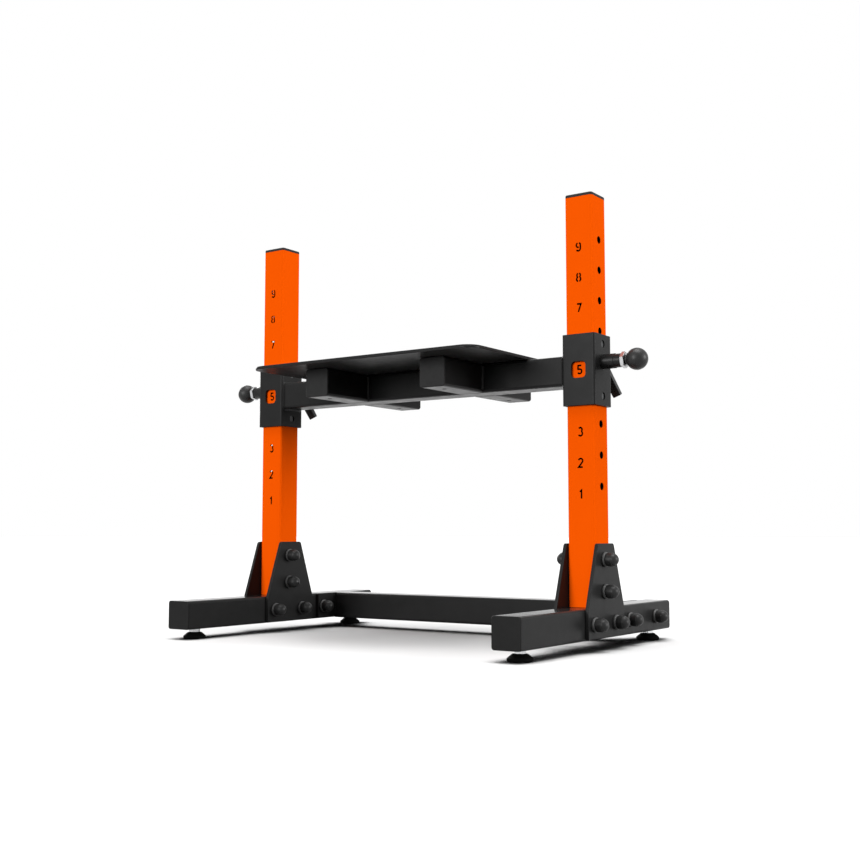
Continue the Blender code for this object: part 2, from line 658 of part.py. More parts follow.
def liner(sign, z):
    """A plastic liner between upright and sleeve, with a peg in the sleeve's hole on either side."""
    x = sign * UPRIGHT_X
    half = HALF_TUBE + SLEEVE_PLAY - GAP
    wall = SLEEVE_PLAY - GAP - SLIDE_CLEARANCE
    ring = at(square_tube(LINER_HEIGHT, 2 * half, wall, LINER_CORNER), x, 0, z - LINER_HEIGHT / 2)
    start = half - wall / 2
    length = SLEEVE_HALF - PEG_RECESS - start
    pegs = [across(x + start, 0, z, PEG / 2 - GAP, length),
            across(x - start - length, 0, z, PEG / 2 - GAP, length)]
    return joined(ring, pegs)


def plunger_place(sign):
    """Where a plunger's axis meets the sleeve's outer side."""
    return (sign * (UPRIGHT_X + SLEEVE_HALF), 0, PLUNGER_Z)


def plunger_facing(sign):
    """The turn that points Z away from the upright."""
    return FACING_X if sign > 0 else FACING_X @ Matrix.Rotation(math.pi, 4, "X")


def collar_mouth():
    """Where the collar's open end lies, measured from the sleeve's side."""
    return BARREL_LENGTH - COLLAR_COVER


def collar_end():
    """Where the collar's closed end begins, measured from the sleeve's side."""
    return BARREL_LENGTH + COLLAR_SHOW - COLLAR_END


def plunger_pin():
    """The pin with the collar that covers the barrel's mouth and the stem for nut and knob."""
    tip = HALF_TUBE - SLEEVE_HALF + PIN_STANDOFF
    collar = BARREL_DIAMETER / 2 - BARREL_WALL - SLIDE_CLEARANCE
    inner = collar - COLLAR_WALL
    end = collar_end()
    stem = KNOB_STEM / 2
    stem_end = end + COLLAR_END + GAP + PLUNGER_NUT_HEIGHT + GAP + KNOB_BORE_DEPTH - GAP
    return turned([(0.0, tip), (PIN / 2 - CHAMFER, tip), (PIN / 2, tip + CHAMFER), (PIN / 2, end),
                   (inner, end), (inner, collar_mouth()), (collar, collar_mouth()),
                   (collar, end + COLLAR_END), (stem, end + COLLAR_END), (stem, stem_end), (0.0, stem_end)])


def plunger_knob():
    """A ball knob with a short neck and a blind hole for the stem."""
    start = collar_end() + COLLAR_END + GAP + PLUNGER_NUT_HEIGHT + GAP
    radius = KNOB_DIAMETER / 2
    neck = KNOB_NECK_DIAMETER / 2
    bore = KNOB_STEM / 2 + GAP
    centre = start + KNOB_NECK + math.sqrt(radius ** 2 - neck ** 2)
    first = math.degrees(math.asin(neck / radius))
    angles = [math.radians(first + (180 - first) * i / KNOB_STEPS) for i in range(KNOB_STEPS + 1)]
    ball = [(radius * math.sin(a), centre - radius * math.cos(a)) for a in angles[:-1]]
    hole = [(0.0, start + KNOB_BORE_DEPTH), (bore, start + KNOB_BORE_DEPTH), (bore, start)]
    return turned([*hole, (neck, start), *ball, (0.0, centre + radius)])


def plunger_spring():
    """The coil that draws the pin in, between the barrel's floor and the collar's end."""
    wire = SPRING_WIRE / 2
    radius = BARREL_DIAMETER / 2 - BARREL_WALL - SLIDE_CLEARANCE - COLLAR_WALL - SPRING_MARGIN - wire
    low = BARREL_FLOOR + GAP + wire
    high = collar_end() - GAP - wire
    count = SPRING_STEPS * SPRING_TURNS
    rings = []
    for i in range(count + 1):
        turn = 2 * math.pi * i / SPRING_STEPS
        middle = Vector((radius * math.cos(turn), radius * math.sin(turn), low + (high - low) * i / count))
        away = Vector((math.cos(turn), math.sin(turn), 0.0))
        rings.append([middle + wire * (away * math.cos(a) + Vector((0, 0, 1)) * math.sin(a))
                      for a in (2 * math.pi * k / SPRING_SIDES for k in range(SPRING_SIDES))])
    return lofted(rings)


def clamp_lever():
    """The clamp's hub with its inclined arm, along Z from the boss outwards, arm turned down at rest."""
    start = SLEEVE_HALF + CLAMP_BOSS_LENGTH + GAP
    radius = HUB_DIAMETER / 2
    bore = CLAMP_STUD / 2 + GAP
    end = start + HUB_LENGTH
    hub = turned([(0.0, end - HUB_TOP), (bore, end - HUB_TOP), (bore, start),
                  (radius * HUB_FOOT_RATIO, start), (radius, start + HUB_SKIRT),
                  (radius, end - HUB_CROWN), (radius * HUB_CROWN_RATIO, end), (0.0, end)])
    sections = []
    for share in (0.0, 1.0 - LEVER_ROUNDING / LEVER_REACH, 1.0):
        wide, thick = [a + (b - a) * share for a, b in zip(LEVER_ROOT, LEVER_TIP)]
        inset = LEVER_ROUNDING if share == 1.0 else 0.0
        outline = rounded_rectangle(wide - inset, thick - inset, LEVER_ROUNDING)
        sections.append([(x, y, share * LEVER_REACH) for x, y in outline])
    arm = lofted(sections)
    lean = Matrix.Rotation(math.pi / 2 - LEVER_TILT, 4, "X")
    arm = at(arm, z=end - LEVER_ROOT[1] / 2 - LEVER_SETBACK, facing=lean)
    return joined(hub, [arm])


def build_clamp(side, sign, carriage):
    """The stud and lever of the clamp on the back of one sleeve."""
    place = (sign * UPRIGHT_X, 0, PLUNGER_Z)
    axis = axis_at(f"clamp_axis_{side}", place, carriage)
    tip = HALF_TUBE + GAP
    end = SLEEVE_HALF + CLAMP_BOSS_LENGTH + GAP + HUB_LENGTH - HUB_TOP - GAP
    stud = turned([(0.0, tip), (CLAMP_STUD / 2 - CHAMFER, tip), (CLAMP_STUD / 2, tip + CHAMFER),
                   (CLAMP_STUD / 2, end), (0.0, end)], HOLE_SEGMENTS)
    piece(f"clamp_stud_{side}", at(stud, *place, FACING_Y), ZINC, place, axis)
    turn = Matrix.Rotation(math.pi - LEVER_TURN, 4, "Y")
    piece(f"clamp_lever_{side}", at(clamp_lever(), *place, turn @ FACING_Y), BLACK_PLASTIC, place, axis)


def build_plunger(side, sign, carriage):
    """The pin, nut, knob and spring of one plunger."""
    place = plunger_place(sign)
    axis = axis_at(f"plunger_axis_{side}", place, carriage)
    nut = at(hex_nut(KNOB_STEM, PLUNGER_NUT_FLATS, PLUNGER_NUT_HEIGHT), z=collar_end() + COLLAR_END + GAP)
    pieces = (("pin", plunger_pin(), STEEL), ("nut", nut, ZINC), ("knob", plunger_knob(), BLACK_PLASTIC),
              ("spring", plunger_spring(), STEEL))
    for name, shape, finish in pieces:
        piece(f"plunger_{name}_{side}", at(shape, *place, plunger_facing(sign)), finish, place, axis)


def build_carriage():
    """Everything that slides on the uprights."""
    carriage = axis_at("carriage_axis", (0, 0, CARRIAGE_Z))
    for side, sign in SIDES.items():
        x = sign * UPRIGHT_X
        piece(f"sleeve_{side}", sleeve(sign), BLACK_COAT, (x, 0, CARRIAGE_Z), carriage)
        for level, z in zip(("upper", "lower"), peg_heights()):
            piece(f"sleeve_liner_{level}_{side}", liner(sign, z), NYLON, (x, 0, z), carriage)
        build_plunger(side, sign, carriage)
        build_clamp(side, sign, carriage)
    build_platform(carriage)


def build_platform(carriage):
    """The platform's frame, its end caps, the plate and its mat."""
    length = 2 * (UPRIGHT_X - SLEEVE_HALF - GAP)
    crossbar = at(square_tube(length), -length / 2, 0, CARRIAGE_Z, FACING_X)
    start = HALF_TUBE - TUBE_WALL / 2
    end = SUPPORT_REACH - END_CAP_THICKNESS - GAP
    supports, drains = [], []
    for side, sign in SIDES.items():
        x = sign * SUPPORT_X
        for name, ahead in (("front", -1), ("rear", 1)):
            low = start if ahead > 0 else -end
            supports.append(at(square_tube(end - start), x, low, CARRIAGE_Z, FACING_Y))
            drains.append(at(rod(DRAIN_HOLE / 2, 3 * TUBE_WALL), x, ahead * (SUPPORT_REACH - DRAIN_SETBACK),
                             CARRIAGE_Z - HALF_TUBE - TUBE_WALL))
            place = (x, ahead * (end + GAP), CARRIAGE_Z)
            cap = at(end_cap(END_CAP_THICKNESS), *place, facing_end(ahead))
            piece(f"support_end_cap_{name}_{side}", cap, BLACK_PLASTIC, place, carriage)
    frame = carved(joined(crossbar, supports), drains)
    piece("platform_frame", frame, BLACK_COAT, (0, 0, CARRIAGE_Z), carriage)
    plate_z = CARRIAGE_Z + HALF_TUBE + GAP
    plate = prism(rounded_rectangle(2 * PLATE_HALF_WIDTH, PLATE_DEPTH, PLATE_CORNER, PLATE_CORNER_SEGMENTS),
                  PLATE_THICKNESS)
    piece("platform_plate", at(plate, z=plate_z), BLACK_COAT, (0, 0, plate_z), carriage)
    mat_z = plate_z + PLATE_THICKNESS + GAP
    mat = prism(rounded_rectangle(2 * (PLATE_HALF_WIDTH - MAT_INSET), PLATE_DEPTH - 2 * MAT_INSET,
                                  PLATE_CORNER - MAT_INSET, PLATE_CORNER_SEGMENTS), MAT_THICKNESS)
    piece("platform_mat", at(mat, z=mat_z), BLACK_RUBBER, (0, 0, mat_z), carriage)


def main():
    """Clears the scene and builds the platform from the floor up."""
    for leftover in list(bpy.data.objects):
        bpy.data.objects.remove(leftover)
    build_feet()
    build_uprights()
    build_gussets()
    build_rear_member()
    build_carriage()


main()
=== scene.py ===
"""Looks of an adjustable step-up platform: numbered orange uprights and a black platform between them.

Lengths are metres unless a name ends in _mm. X runs along the crossbar, -Y is the front, +Z is up.
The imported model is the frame. Pieces whose shape is right keep it and get their finish here, and the
others are modelled again, with the edges, mouldings and fixings that the real ones have.
"""

import logging
import math
from dataclasses import dataclass
from enum import Enum
from typing import Callable, Optional, Sequence, Union

import bmesh
import bpy
from mathutils import Matrix, Vector


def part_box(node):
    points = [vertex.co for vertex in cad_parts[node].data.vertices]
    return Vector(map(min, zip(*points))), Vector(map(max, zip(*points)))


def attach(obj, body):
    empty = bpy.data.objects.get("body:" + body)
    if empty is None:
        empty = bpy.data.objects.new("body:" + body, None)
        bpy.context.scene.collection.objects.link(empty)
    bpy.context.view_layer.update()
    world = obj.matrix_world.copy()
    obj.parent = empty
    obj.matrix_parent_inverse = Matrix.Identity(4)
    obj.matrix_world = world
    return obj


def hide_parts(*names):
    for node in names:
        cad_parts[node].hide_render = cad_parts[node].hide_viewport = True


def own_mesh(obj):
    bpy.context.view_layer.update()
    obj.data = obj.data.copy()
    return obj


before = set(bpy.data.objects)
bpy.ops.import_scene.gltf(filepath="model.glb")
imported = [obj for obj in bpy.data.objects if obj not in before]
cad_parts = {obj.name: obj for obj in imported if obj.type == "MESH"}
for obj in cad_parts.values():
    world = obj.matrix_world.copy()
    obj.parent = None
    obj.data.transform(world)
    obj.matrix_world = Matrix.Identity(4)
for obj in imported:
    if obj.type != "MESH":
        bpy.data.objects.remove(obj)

GAP = 0.0003                    # between pieces that touch
MERGE = 0.000001                # points closer than this are one
TINY = 10 * MERGE               # a point this near to a height lies at it
TUBE = 0.050                    # width of the square tubes
TUBE_CORNER = 0.0045            # outer radius of their corners
WALL = 0.003                    # their wall
HOLE = 0.0126                   # for the 12 mm bolts and pins
BOLT_LEAD = 0.005               # how far the bolts stand before the uprights' middle
PLUNGER_Z = 0.4672              # height of the plungers' and the clamps' axes
SHARP = math.radians(40.0)      # the edge of a flat face turns by more than this
SMOOTH = math.radians(32.0)     # edges that turn by less are shaded smooth
STEEP = 0.99                    # share of its length that an upright edge rises
EDGE_SAMPLES = 4                # rays that look for an edge near a point
LOG = logging.getLogger("step_up_platform")

Piece = bpy.types.Object
Tree = bpy.types.NodeTree
Node = bpy.types.Node
Socket = bpy.types.NodeSocket
Item = Union[bmesh.types.BMVert, bmesh.types.BMEdge, bmesh.types.BMFace]
Test = Callable[[Item], bool]
Point = Sequence[float]
Profile = list[tuple[float, float]]


class Facing(Enum):
    """Where the Z axis of a shape modelled at the origin points once it is set down, as a turn's rows.

    Sideways shapes keep their Y axis up.
    """

    UP = ((1, 0, 0), (0, 1, 0), (0, 0, 1))
    RIGHT = ((0, 0, 1), (1, 0, 0), (0, 1, 0))
    LEFT = ((0, 0, -1), (-1, 0, 0), (0, 1, 0))
    FRONT = ((1, 0, 0), (0, 0, -1), (0, 1, 0))
    REAR = ((-1, 0, 0), (0, 0, 1), (0, 1, 0))


class Way(Enum):
    """One of two opposite ways along an axis. Its value is its sign."""

    @property
    def label(self) -> str:
        """Its word in the names of the pieces."""
        return self.name.lower()

    @property
    def facing(self) -> Facing:
        """Where a shape that points this way faces."""
        return Facing[self.name]

    @property
    def opposite(self) -> "Way":
        """The other way along the same axis."""
        return type(self)(-self.value)


class Side(Way):
    """The two sides of the platform, as one who stands in front of it sees them."""

    LEFT = -1
    RIGHT = 1


class End(Way):
    """The two ends of a tube that runs from front to rear."""

    FRONT = -1
    REAR = 1


class Part(Enum):
    """What an edit mode selection is made of."""

    CORNERS = "VERT"
    EDGES = "EDGE"
    FACES = "FACE"


class Cut(Enum):
    """What a Boolean does with its second shape."""

    AWAY = "DIFFERENCE"
    JOIN = "UNION"
    COMMON = "INTERSECT"


# Modelling by hand, one operator after another


def deselect() -> None:
    """Leaves edit mode with nothing selected, so that the next operator acts on its own piece only."""
    if bpy.context.mode != "OBJECT":
        bpy.ops.object.mode_set(mode="OBJECT")
    bpy.ops.object.select_all(action="DESELECT")


def choose(obj: Piece) -> None:
    """Makes one object the only selected and the active one.

    Args:
        obj: The object to work on.
    """
    deselect()
    obj.select_set(True)
    bpy.context.view_layer.objects.active = obj


def named(name: str) -> Piece:
    """Gives the object that an operator has just added its name.

    Args:
        name: The piece's name.

    Returns:
        The object.
    """
    made = bpy.context.view_layer.objects.active
    made.name = name
    made.data.name = name
    return made


def settle() -> None:
    """Moves the place, turn and size of the selected object into its mesh."""
    bpy.ops.object.transform_apply(location=True, rotation=True, scale=True)


def edit(obj: Piece) -> None:
    """Puts an object in edit mode, unless a mesh is in edit mode already."""
    if bpy.context.mode != "EDIT_MESH":
        choose(obj)
        bpy.ops.object.mode_set(mode="EDIT")


def extrude(*way: float) -> None:
    """Extrudes what is selected in edit mode along X, Y and Z."""
    bpy.ops.mesh.extrude_region_move(TRANSFORM_OT_translate={"value": way})


def centre(node: str) -> tuple[float, float, float]:
    """Returns the middle of a node's box."""
    low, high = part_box(node)
    return ((low.x + high.x) / 2, (low.y + high.y) / 2, (low.z + high.z) / 2)


def middle(edge: bmesh.types.BMEdge) -> Vector:
    """Returns the middle of an edge."""
    return (edge.verts[0].co + edge.verts[1].co) / 2


def pick(obj: Piece, part: Part, test: Test) -> None:
    """Selects in edit mode the corners, edges or faces that pass a test, and nothing else.

    Args:
        obj: The object, which is put in edit mode.
        part: What to select.
        test: Says whether one item is wanted.
    """
    edit(obj)
    bpy.ops.mesh.select_mode(type=part.value)
    bpy.ops.mesh.select_all(action="DESELECT")
    shape = bmesh.from_edit_mesh(obj.data)
    items = {Part.CORNERS: shape.verts, Part.EDGES: shape.edges, Part.FACES: shape.faces}[part]
    for item in items:
        if test(item):
            item.select_set(True)
    shape.select_flush_mode()
    bmesh.update_edit_mesh(obj.data)


def everything(_: Item) -> bool:
    """A test that every item passes."""
    return True


def upright_edge(item: Item) -> bool:
    """Whether an edge runs along Z, give or take a small lean."""
    way = item.verts[1].co - item.verts[0].co
    return abs(way.z) > STEEP * way.length


def at_height(*heights: float) -> Test:
    """Makes the test for items that lie flat at one of the heights given.

    Args:
        heights: Heights above the origin.

    Returns:
        A test for pick().
    """
    def flat(item: Item) -> bool:
        """Whether all of an item lies at one of the heights."""
        corners = [item] if isinstance(item, bmesh.types.BMVert) else item.verts
        return any(all(abs(c.co.z - z) < TINY for c in corners) for z in heights)
    return flat


def block(name: str, size: Point, low_z: float = 0.0) -> Piece:
    """Starts a piece from a box that stands on one height, centred on the Z axis.

    Args:
        name: The piece's name.
        size: Width, depth and height.
        low_z: Height of the box's underside.

    Returns:
        The object, in object mode.
    """
    deselect()
    bpy.ops.mesh.primitive_cube_add(size=1.0, location=(0.0, 0.0, low_z + size[2] / 2))
    made = named(name)
    made.scale = size
    settle()
    return made


def soften(obj: Piece, test: Test, width: float, segments: int) -> None:
    """Rounds the edges that pass a test.

    Args:
        obj: The object to work on.
        test: Says which edges are rounded.
        width: How far the rounding reaches along each face.
        segments: Faces across the rounding.
    """
    pick(obj, Part.EDGES, test)
    bpy.ops.mesh.bevel(offset=width, offset_type="OFFSET", segments=segments, profile=0.5, affect="EDGES")


def bar(name: str, size: Point, corner: float, low_z: float = 0.0, segments: int = 4) -> Piece:
    """Starts a piece from an upright bar with rounded long edges.

    Args:
        name: The piece's name.
        size: Width, depth and height.
        corner: Radius of the long edges.
        low_z: Height of the underside.
        segments: Faces across each rounding.

    Returns:
        The object, in edit mode.
    """
    made = block(name, size, low_z)
    soften(made, upright_edge, corner, segments)
    return made


def sharp_rim(*heights: float) -> Test:
    """Makes the test for the edges between a flat face at one of the heights and the walls beside it.

    Args:
        heights: Heights of the flat faces.

    Returns:
        A test for pick().
    """
    flat = at_height(*heights)

    def rim(edge: Item) -> bool:
        """Whether an edge lies at the height and turns sharply."""
        return flat(edge) and len(edge.link_faces) == 2 and edge.calc_face_angle() > SHARP
    return rim


def modify(obj: Piece, kind: str, **settings: object) -> None:
    """Adds a modifier with its settings and applies it.

    Args:
        obj: The object to work on.
        kind: The modifier's type.
        settings: Its settings, by name.
    """
    choose(obj)
    modifier = obj.modifiers.new(kind.title(), kind)
    for name, value in settings.items():
        setattr(modifier, name, value)
    bpy.ops.object.modifier_apply(modifier=modifier.name)


def combine(obj: Piece, tool: Piece, how: Cut) -> None:
    """Cuts a shape with another or joins them, and uses the other up.

    Args:
        obj: The object that stays.
        tool: The shape that is used up.
        how: What is done with it.
    """
    deselect()
    modify(obj, "BOOLEAN", operation=how.value, object=tool, solver="EXACT", use_self=True)
    bpy.data.objects.remove(tool)


def merged(name: str, shapes: Sequence[Piece]) -> Piece:
    """Joins objects into one mesh without changing their surfaces.

    Args:
        name: The new piece's name.
        shapes: The objects, the first of which stays.

    Returns:
        The joined object.
    """
    choose(shapes[0])
    for shape in shapes:
        shape.select_set(True)
    if len(shapes) > 1:
        bpy.ops.object.join()
    return named(name)


def lone_point(name: str, place: Point) -> Piece:
    """Starts a piece from a single corner: a tiny plane, merged at its middle and moved to its place.

    Args:
        name: The piece's name.
        place: Where the corner goes.

    Returns:
        The object, in edit mode with its corner selected.
    """
    deselect()
    bpy.ops.mesh.primitive_plane_add(size=TINY, location=(0.0, 0.0, 0.0))
    made = named(name)
    edit(made)
    bpy.ops.mesh.select_mode(type=Part.CORNERS.value)
    bpy.ops.mesh.select_all(action="SELECT")
    bpy.ops.mesh.merge(type="CENTER")
    bpy.ops.mesh.select_all(action="SELECT")
    bpy.ops.transform.translate(value=place)
    return made


def draw_on(points: Sequence[Point]) -> None:
    """Extrudes the selected corner from the first of some points through the others, in edit mode."""
    for last, point in zip(points, points[1:]):
        extrude(*(Vector(point) - Vector(last)))


def close_up(obj: Piece) -> Piece:
    """Merges a mesh's doubles, turns its faces outwards and leaves edit mode.

    Args:
        obj: The object, which may be in edit mode already.

    Returns:
        The same object.
    """
    edit(obj)
    bpy.ops.mesh.select_all(action="SELECT")
    bpy.ops.mesh.remove_doubles(threshold=MERGE)
    bpy.ops.mesh.dissolve_degenerate(threshold=MERGE)
    bpy.ops.mesh.select_all(action="SELECT")
    bpy.ops.mesh.normals_make_consistent(inside=False)
    bpy.ops.object.mode_set(mode="OBJECT")
    return obj


def turned(name: str, profile: Sequence[Point], segments: int = 40) -> Piece:
    """Turns a profile about the Z axis: one point is extruded along the profile, then spun.

    Args:
        name: The piece's name.
        profile: Points of radius and height. A profile that ends where it began gives a ring.
        segments: Steps of the spin.

    Returns:
        The object, in object mode.
    """
    points = [(radius, 0.0, height) for radius, height in profile]
    made = lone_point(name, points[0])
    draw_on(points)
    bpy.ops.mesh.select_all(action="SELECT")
    bpy.ops.mesh.spin(steps=segments, angle=2 * math.pi, center=(0, 0, 0), axis=(0, 0, 1))
    return close_up(made)


def rounded(hub: Point, radius: float, start: float, end: float, steps: int = 5) -> Profile:
    """Gives the points of an arc in a profile.

    Args:
        hub: Radius and height of the arc's centre.
        radius: The arc's own radius.
        start: First angle in degrees, from the outward direction towards up.
        end: Last angle in degrees.
        steps: Straight pieces in the arc.

    Returns:
        Points of radius and height.
    """
    angles = [math.radians(start + (end - start) * i / steps) for i in range(steps + 1)]
    return [(hub[0] + radius * math.cos(a), hub[1] + radius * math.sin(a)) for a in angles]


def drill(diameter: float, length: float, low_z: float = 0.0, vertices: int = 32) -> Piece:
    """Makes a round cutter along Z, which a Boolean uses up.

    Args:
        diameter: Its width.
        length: Its height.
        low_z: Where it starts.
        vertices: Corners round it.

    Returns:
        The cutter.
    """
    deselect()
    bpy.ops.mesh.primitive_cylinder_add(vertices=vertices, radius=diameter / 2, depth=length,
                                        location=(0.0, 0.0, low_z + length / 2))
    settle()
    return named("cutter")


def set_down(obj: Piece, place: Point, facing: Facing = Facing.UP) -> Piece:
    """Turns a shape and moves it to its place, with the place kept in its mesh.

    Args:
        obj: The object, modelled about the origin.
        place: Where its origin goes.
        facing: Where its Z axis points.

    Returns:
        The same object.
    """
    choose(obj)
    obj.matrix_world = Matrix.Translation(Vector(place)) @ Matrix(facing.value).to_4x4()
    settle()
    return obj


def copied(obj: Piece, name: str) -> Piece:
    """Copies a shape, with a mesh of its own.

    Args:
        obj: The object that is modelled once.
        name: The copy's name.

    Returns:
        The copy.
    """
    choose(obj)
    bpy.ops.object.duplicate()
    return named(name)


def smooth(obj: Piece) -> None:
    """Shades a shape smooth across its small angles, with the large flat faces kept flat."""
    choose(obj)
    bpy.ops.object.shade_smooth_by_angle(angle=SMOOTH)
    modify(obj, "WEIGHTED_NORMAL", keep_sharp=True, weight=100)


# Colours and nodes


def to_linear(code: str) -> tuple[float, float, float, float]:
    """Turns a six digit sRGB hex colour into linear light values with full opacity."""
    parts = [int(code[i:i + 2], 16) / 255 for i in (0, 2, 4)]
    return (*[c / 12.92 if c <= 0.04045 else ((c + 0.055) / 1.055) ** 2.4 for c in parts], 1.0)


def per_metre(size_mm: float) -> float:
    """Returns a texture's scale for features of a size in millimetres."""
    return 1000.0 / size_mm


def feed(tree: Tree, node: Node, inputs: dict) -> None:
    """Sets or links the inputs of a node.

    Args:
        tree: The node tree.
        node: The node.
        inputs: Values or output sockets, by the name or number of the input they go to.
    """
    for socket, value in inputs.items():
        if isinstance(value, Socket):
            tree.links.new(value, node.inputs[socket])
        else:
            node.inputs[socket].default_value = value


def add_node(tree: Tree, kind: str, inputs: Optional[dict] = None, **settings: object) -> Node:
    """Adds a shader node with its settings, its values and the links into it.

    Args:
        tree: The node tree.
        kind: The node's type, without the word ShaderNode before it.
        inputs: Values or output sockets, by the name or number of the input they go to.
        settings: The node's own settings, by name.

    Returns:
        The node.
    """
    node = tree.nodes.new("ShaderNode" + kind)
    for name, value in settings.items():
        setattr(node, name, value)
    feed(tree, node, inputs or {})
    return node


def edge_mask(tree: Tree, radius: float, spotty_mm: float) -> Socket:
    """Finds the edges where handling wears a surface, broken up as real wear is.

    Args:
        tree: The material's node tree.
        radius: How far from an edge the wear reaches.
        spotty_mm: Size of the worn and unworn stretches.

    Returns:
        A value from 0 on the flats to 1 on a worn edge.
    """
    flat_turn, edge_turn = 0.99, 0.8        # cosines of the turn from the true face to its eased normal
    unworn, worn = 0.35, 0.7                # levels of the noise between which wear sets in
    eased = add_node(tree, "Bevel", {"Radius": radius}, samples=EDGE_SAMPLES).outputs["Normal"]
    flat = add_node(tree, "NewGeometry").outputs["Normal"]
    same = add_node(tree, "VectorMath", {0: eased, 1: flat}, operation="DOT_PRODUCT").outputs["Value"]
    edge = add_node(tree, "MapRange", {"Value": same, "From Min": flat_turn, "From Max": edge_turn})
    place = add_node(tree, "TexCoord").outputs["Object"]
    spots = add_node(tree, "TexNoise", {"Vector": place, "Scale": per_metre(spotty_mm), "Detail": 4.0})
    broken = add_node(tree, "MapRange", {"Value": spots.outputs["Fac"], "From Min": unworn,
                                         "From Max": worn})
    both = add_node(tree, "Math", {0: edge.outputs["Result"], 1: broken.outputs["Result"]},
                    operation="MULTIPLY")
    return both.outputs["Value"]


@dataclass(frozen=True)
class Finish:
    """What all finishes share: a name, a colour and how the shader is started."""

    name: str
    colour: str

    def material(self) -> bpy.types.Material:
        """Returns the finish's material, made on first use."""
        known = bpy.data.materials.get(self.name)
        if known:
            return known
        made = bpy.data.materials.new(self.name)
        made.use_nodes = True
        shader = made.node_tree.nodes["Principled BSDF"]
        feed(made.node_tree, shader, {"Base Color": to_linear(self.colour)})
        self.dress(made.node_tree, shader)
        return made

    def dress(self, tree: Tree, shader: Node) -> None:
        """Adds the finish's own nodes.

        Args:
            tree: The material's node tree.
            shader: Its Principled shader.
        """
        raise NotImplementedError

    def mottled(self, tree: Tree, other: str, size_mm: float, share: float) -> Socket:
        """Lets the colour drift softly towards another.

        Args:
            tree: The material's node tree.
            other: The other colour, in sRGB hex.
            size_mm: Size of the patches.
            share: How much of the other colour shows at the most.

        Returns:
            The colour.
        """
        low, high = 0.3, 0.75               # levels of the noise between which the colour drifts
        place = add_node(tree, "TexCoord").outputs["Object"]
        patches = add_node(tree, "TexNoise", {"Vector": place, "Scale": per_metre(size_mm), "Detail": 5.0,
                                              "Roughness": 0.6})
        part = add_node(tree, "MapRange", {"Value": patches.outputs["Fac"], "From Min": low,
                                           "From Max": high, "To Max": share})
        drift = add_node(tree, "MixRGB", {"Fac": part.outputs["Result"], "Color1": to_linear(self.colour),
                                          "Color2": to_linear(other)})
        return drift.outputs["Color"]

    @staticmethod
    def varied(tree: Tree, size_mm: float, least: float, most: float) -> Socket:
        """Makes a value that wanders between two limits, for a roughness.

        Args:
            tree: The material's node tree.
            size_mm: Size of the patches.
            least: The lower limit.
            most: The upper limit.

        Returns:
            The value.
        """
        low, high = 0.3, 0.7                # levels of the noise at the two limits
        place = add_node(tree, "TexCoord").outputs["Object"]
        clouds = add_node(tree, "TexNoise", {"Vector": place, "Scale": per_metre(size_mm), "Detail": 4.0})
        value = add_node(tree, "MapRange", {"Value": clouds.outputs["Fac"], "From Min": low,
                                            "From Max": high, "To Min": least, "To Max": most})
        return value.outputs["Result"]


@dataclass(frozen=True)
class PowderCoat(Finish):
    """Polyester powder coat, sprayed dry on steel and baked.

    It melts to a tough skin with a faint orange peel, satin in the light, a little thinner and
    lighter along the edges that are handled. Seen nearly edge on it mirrors what is behind it.
    """

    drift: str
    worn: str
    roughness: float
    peel_mm: float = 1.6
    peel_depth: float = 0.00012
    grain_mm: float = 0.35
    specular: float = 0.5
    index: float = 1.5
    tint: str = "FFFFFF"
    drift_mm: float = 45.0
    drift_share: float = 0.6
    wear_mm: float = 7.0
    wear_reach: float = 0.0009
    cloud_mm: float = 18.0
    peel_strength: float = 0.35
    grain_strength: float = 0.25
    grain_depth: float = 0.00004
    soft_edge: float = 0.0008
    graze: tuple[float, float] = (0.926, 0.945)
    graze_share: float = 0.15

    def skin(self, tree: Tree) -> Socket:
        """Returns the coat's colour before wear."""
        return self.mottled(tree, self.drift, self.drift_mm, self.drift_share)

    def gloss(self, tree: Tree) -> Socket:
        """Returns the roughness, which drops where the coat is seen nearly edge on."""
        rough = self.varied(tree, self.cloud_mm, self.roughness - 0.05, self.roughness + 0.06)
        facing = add_node(tree, "LayerWeight", {"Blend": 0.5}).outputs["Facing"]
        start, full = self.graze
        keen = add_node(tree, "MapRange", {"Value": facing, "From Min": start, "From Max": full,
                                           "To Min": 1.0, "To Max": self.graze_share})
        both = add_node(tree, "Math", {0: rough, 1: keen.outputs["Result"]}, operation="MULTIPLY")
        return both.outputs["Value"]

    def dress(self, tree: Tree, shader: Node) -> None:
        """Adds drift, worn edges, orange peel and grain."""
        place = add_node(tree, "TexCoord").outputs["Object"]
        base = self.skin(tree)
        wear = edge_mask(tree, self.wear_reach, self.wear_mm)
        peel = add_node(tree, "TexNoise", {"Vector": place, "Scale": per_metre(self.peel_mm), "Detail": 2.0,
                                           "Roughness": 0.4})
        grain = add_node(tree, "TexNoise", {"Vector": place, "Scale": per_metre(self.grain_mm),
                                            "Detail": 2.0})
        eased = add_node(tree, "Bevel", {"Radius": self.soft_edge}, samples=EDGE_SAMPLES)
        waves = add_node(tree, "Bump", {"Height": peel.outputs["Fac"], "Strength": self.peel_strength,
                                        "Distance": self.peel_depth, "Normal": eased.outputs["Normal"]})
        fine = add_node(tree, "Bump", {"Height": grain.outputs["Fac"], "Strength": self.grain_strength,
                                       "Distance": self.grain_depth, "Normal": waves.outputs["Normal"]})
        colour = add_node(tree, "MixRGB", {"Fac": wear, "Color1": base, "Color2": to_linear(self.worn)})
        feed(tree, shader, {"Base Color": colour.outputs["Color"], "Roughness": self.gloss(tree),
                            "Specular IOR Level": self.specular, "Specular Tint": to_linear(self.tint),
                            "IOR": self.index, "Normal": fine.outputs["Normal"]})


